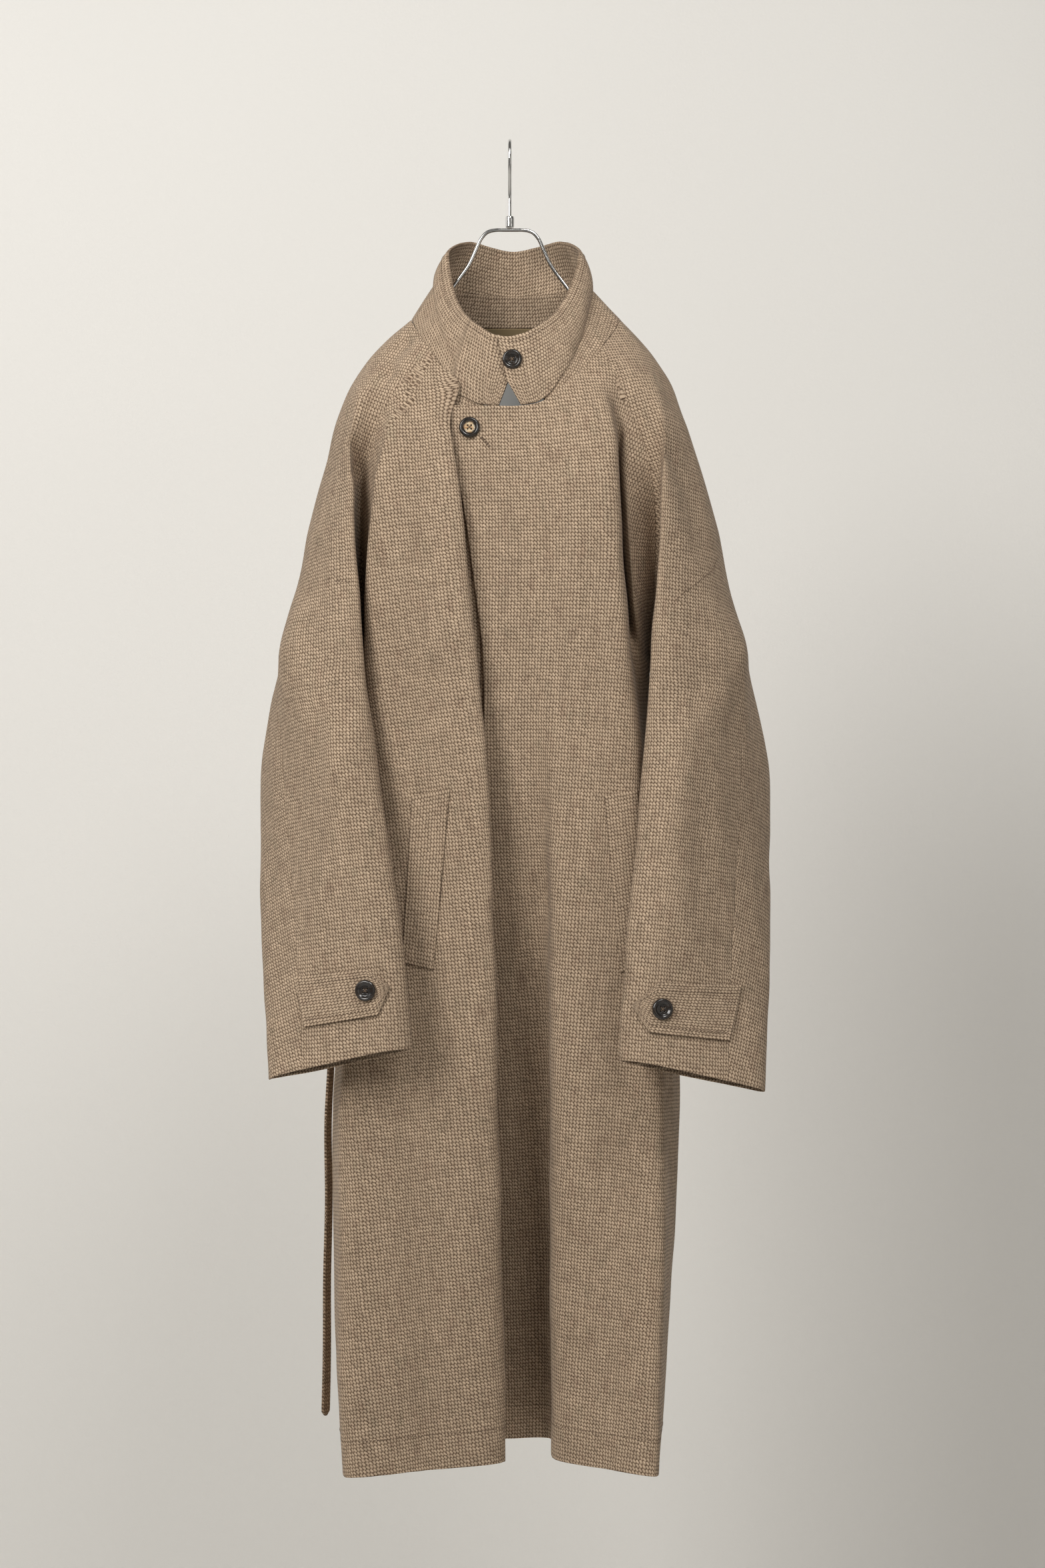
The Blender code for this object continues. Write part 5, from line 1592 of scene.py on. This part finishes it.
class COAT_OT_hanger(bpy.types.Operator):
    """Makes the hanger's hook, ferrule and bow as plated wire."""

    bl_idname = "coat.hanger"
    bl_label = "Hanger"

    def execute(self, context):
        sheets, finish = all_sheets(), chrome_finish()
        centre = WIRE / 2 - HOOK_RADIUS
        arc = np.radians(np.arange(-10, 206, 3))
        bend = point(0, -HOOK_RADIUS * np.cos(arc), centre + HOOK_RADIUS * np.sin(arc))
        stem = smooth([(0, 0, -84.0), (0, 0, -70), (0, -0.5, -58), (0, -8, -44), (0, -16.5, -32), bend[0]],
                      steps(0, 5, 12))
        path = np.concatenate([stem[:-1], bend])
        tip = np.clip((np.arange(len(path))[::-1] + 0.6) / 3, 0, 1)
        points, faces = tube(path, WIRE / 2 * np.sqrt(1 - (1 - tip) ** 2), 24, up=(1.0, 0.0, 0.0))
        make_piece("wire_hook", points.reshape(-1, 3), faces, finish, ("hanger_hook",))

        profile = smooth([(0.4, -92.4), (3.6, -92.4), (4.3, -91.8), (4.6, -90), (4.6, -86), (4.6, -82),
                          (4.3, -80.6), (3.6, -80), (2.4, -80), (2.2, -81), (0.4, -81)], steps(0, 10, 6))
        points, faces = turned_piece(profile, 48)
        make_piece("wire_ferrule", points.reshape(-1, 3), faces, finish, ("hanger_ferrule",))

        half, arms = np.array(BOW, dtype=float), {}
        for side in ("left", "right"):
            sheet = sheets["sleeve_front_" + side]
            ridge = [sheet.count - 1]
            below = WALL + BOW_PLAY + BOW_WIRE / 2
            arm = sheet.at(ARM_ROWS, ridge)[:, 0] - sheet.normals(ARM_ROWS, ridge)[:, 0] * below
            arms[side] = np.concatenate([half * (SIGN[side], 1, 1), arm])
        route = np.concatenate([arms["right"][::-1], arms["left"]])
        points, faces = tube(smooth(route, steps(0, len(route) - 1, 10)), BOW_WIRE / 2, 24)
        make_piece("wire_bow", points.reshape(-1, 3), faces, finish, ("hanger_bow",))
        return {"FINISHED"}


def area_light(name, place, target, size, power, colour):
    """A soft rectangular light that points at a target."""
    data = bpy.data.lights.new(name, "AREA")
    data.shape, data.size, data.size_y = "RECTANGLE", size[0], size[1]
    data.energy, data.color = power, colour
    lamp = bpy.data.objects.new(name, data)
    lamp.location = place
    lamp.rotation_euler = (Vector(target) - Vector(place)).to_track_quat("-Z", "Y").to_euler()
    bpy.context.scene.collection.objects.link(lamp)


class COAT_OT_studio(bpy.types.Operator):
    """Makes the pale wall and floor, the soft lights and the camera."""

    bl_idname = "coat.studio"
    bl_label = "Studio"

    def execute(self, context):
        studio = context.scene.coat_studio
        self.backdrop(studio)
        for name, (place, target, size, colour) in LIGHTS.items():
            area_light(name, place, target, size, getattr(studio, name + "_power"), colour)
        world = bpy.data.worlds.new("room")
        world.use_nodes = True
        sky = world.node_tree.nodes["Background"]
        sky.inputs["Color"].default_value = SKY_COLOUR
        sky.inputs["Strength"].default_value = SKY_STRENGTH
        context.scene.world = world
        context.scene.view_settings.view_transform = "Standard"

        data = bpy.data.cameras.new("camera")
        data.lens, data.sensor_width, data.sensor_fit = studio.lens, 36.0, "AUTO"
        camera = bpy.data.objects.new("camera", data)
        camera.location = CAMERA_PLACE
        camera.rotation_euler = (math.radians(90), 0, 0)
        context.scene.collection.objects.link(camera)
        context.scene.camera = camera
        return {"FINISHED"}

    def backdrop(self, studio):
        """A floor that curves up into a wall: one profile swept sideways."""
        shader = Shader("painted_wall")
        place = shader.solid_place()
        tone = shader.noise(place, 1.6, 2.0) * 0.04 + 0.98
        grain = shader.noise(place, 300.0, 2.0)
        colour = shader.mix(1.0, tuple(studio.wall), shader.vector(tone, tone, tone), "MULTIPLY")
        finish = shader.finish(base_color=colour, roughness=0.9, normal=shader.bump(grain, 0.0004))
        shader.clear_from_behind()
        bend = np.radians(np.linspace(-90, 0, 17))
        far, low = studio.wall_distance, -studio.floor_depth
        round_off = np.stack([far - WALL_BEND + WALL_BEND * np.cos(bend),
                              low + WALL_BEND + WALL_BEND * np.sin(bend)], axis=-1)
        side = np.concatenate([[(-WALL_REACH, low)], round_off, [(far, WALL_TOP)]])
        points = np.stack([point(x, side[:, 0], side[:, 1])
                           for x in np.linspace(-WALL_REACH, WALL_REACH, 10)])
        index = np.arange(points.shape[0] * points.shape[1]).reshape(points.shape[:2])
        corners = (index[:-1, :-1], index[1:, :-1], index[1:, 1:], index[:-1, 1:])
        faces = np.stack(corners, axis=-1).reshape(-1, 4)
        mesh = bpy.data.meshes.new("studio_wall")
        mesh.from_pydata(points.reshape(-1, 3).tolist(), [], faces.tolist())
        mesh.polygons.foreach_set("use_smooth", [True] * len(mesh.polygons))
        mesh.materials.append(finish)
        made = bpy.data.objects.new("studio_wall", mesh)
        bpy.context.scene.collection.objects.link(made)


class COAT_PT_panel(bpy.types.Panel):
    """Lists the pieces of the coat and the studio, with their settings."""

    bl_idname = "COAT_PT_panel"
    bl_label = "Balmacaan coat"
    bl_space_type = "VIEW_3D"
    bl_region_type = "UI"
    bl_category = "Coat"

    def draw(self, context):
        for title, group in (("Cloth", context.scene.coat_cloth), ("Trimmings", context.scene.coat_trim),
                             ("Studio", context.scene.coat_studio)):
            box = self.layout.box()
            box.label(text=title)
            for key in group.__annotations__:
                box.prop(group, key)
        for step in STEPS:
            self.layout.operator(step.bl_idname)


STEPS = (COAT_OT_body, COAT_OT_insides, COAT_OT_collar, COAT_OT_pockets, COAT_OT_cuffs,
         COAT_OT_buttons, COAT_OT_sewing, COAT_OT_strap, COAT_OT_hanger, COAT_OT_studio)
SETTINGS = {"coat_cloth": CoatClothSettings, "coat_trim": CoatTrimSettings,
            "coat_studio": CoatStudioSettings}


def register():
    """Registers the settings, the operators and the panel."""
    for made in (*SETTINGS.values(), *STEPS, COAT_PT_panel):
        bpy.utils.register_class(made)
    for name, group in SETTINGS.items():
        setattr(bpy.types.Scene, name, PointerProperty(type=group))


def unregister():
    """Removes what register added."""
    for name in SETTINGS:
        delattr(bpy.types.Scene, name)
    for made in (COAT_PT_panel, *STEPS[::-1], *SETTINGS.values()):
        bpy.utils.unregister_class(made)


def main():
    """Builds every piece and the studio."""
    register()
    for step in STEPS:
        group, name = step.bl_idname.split(".")
        getattr(getattr(bpy.ops, group), name)()


if __name__ == "__main__":
    main()
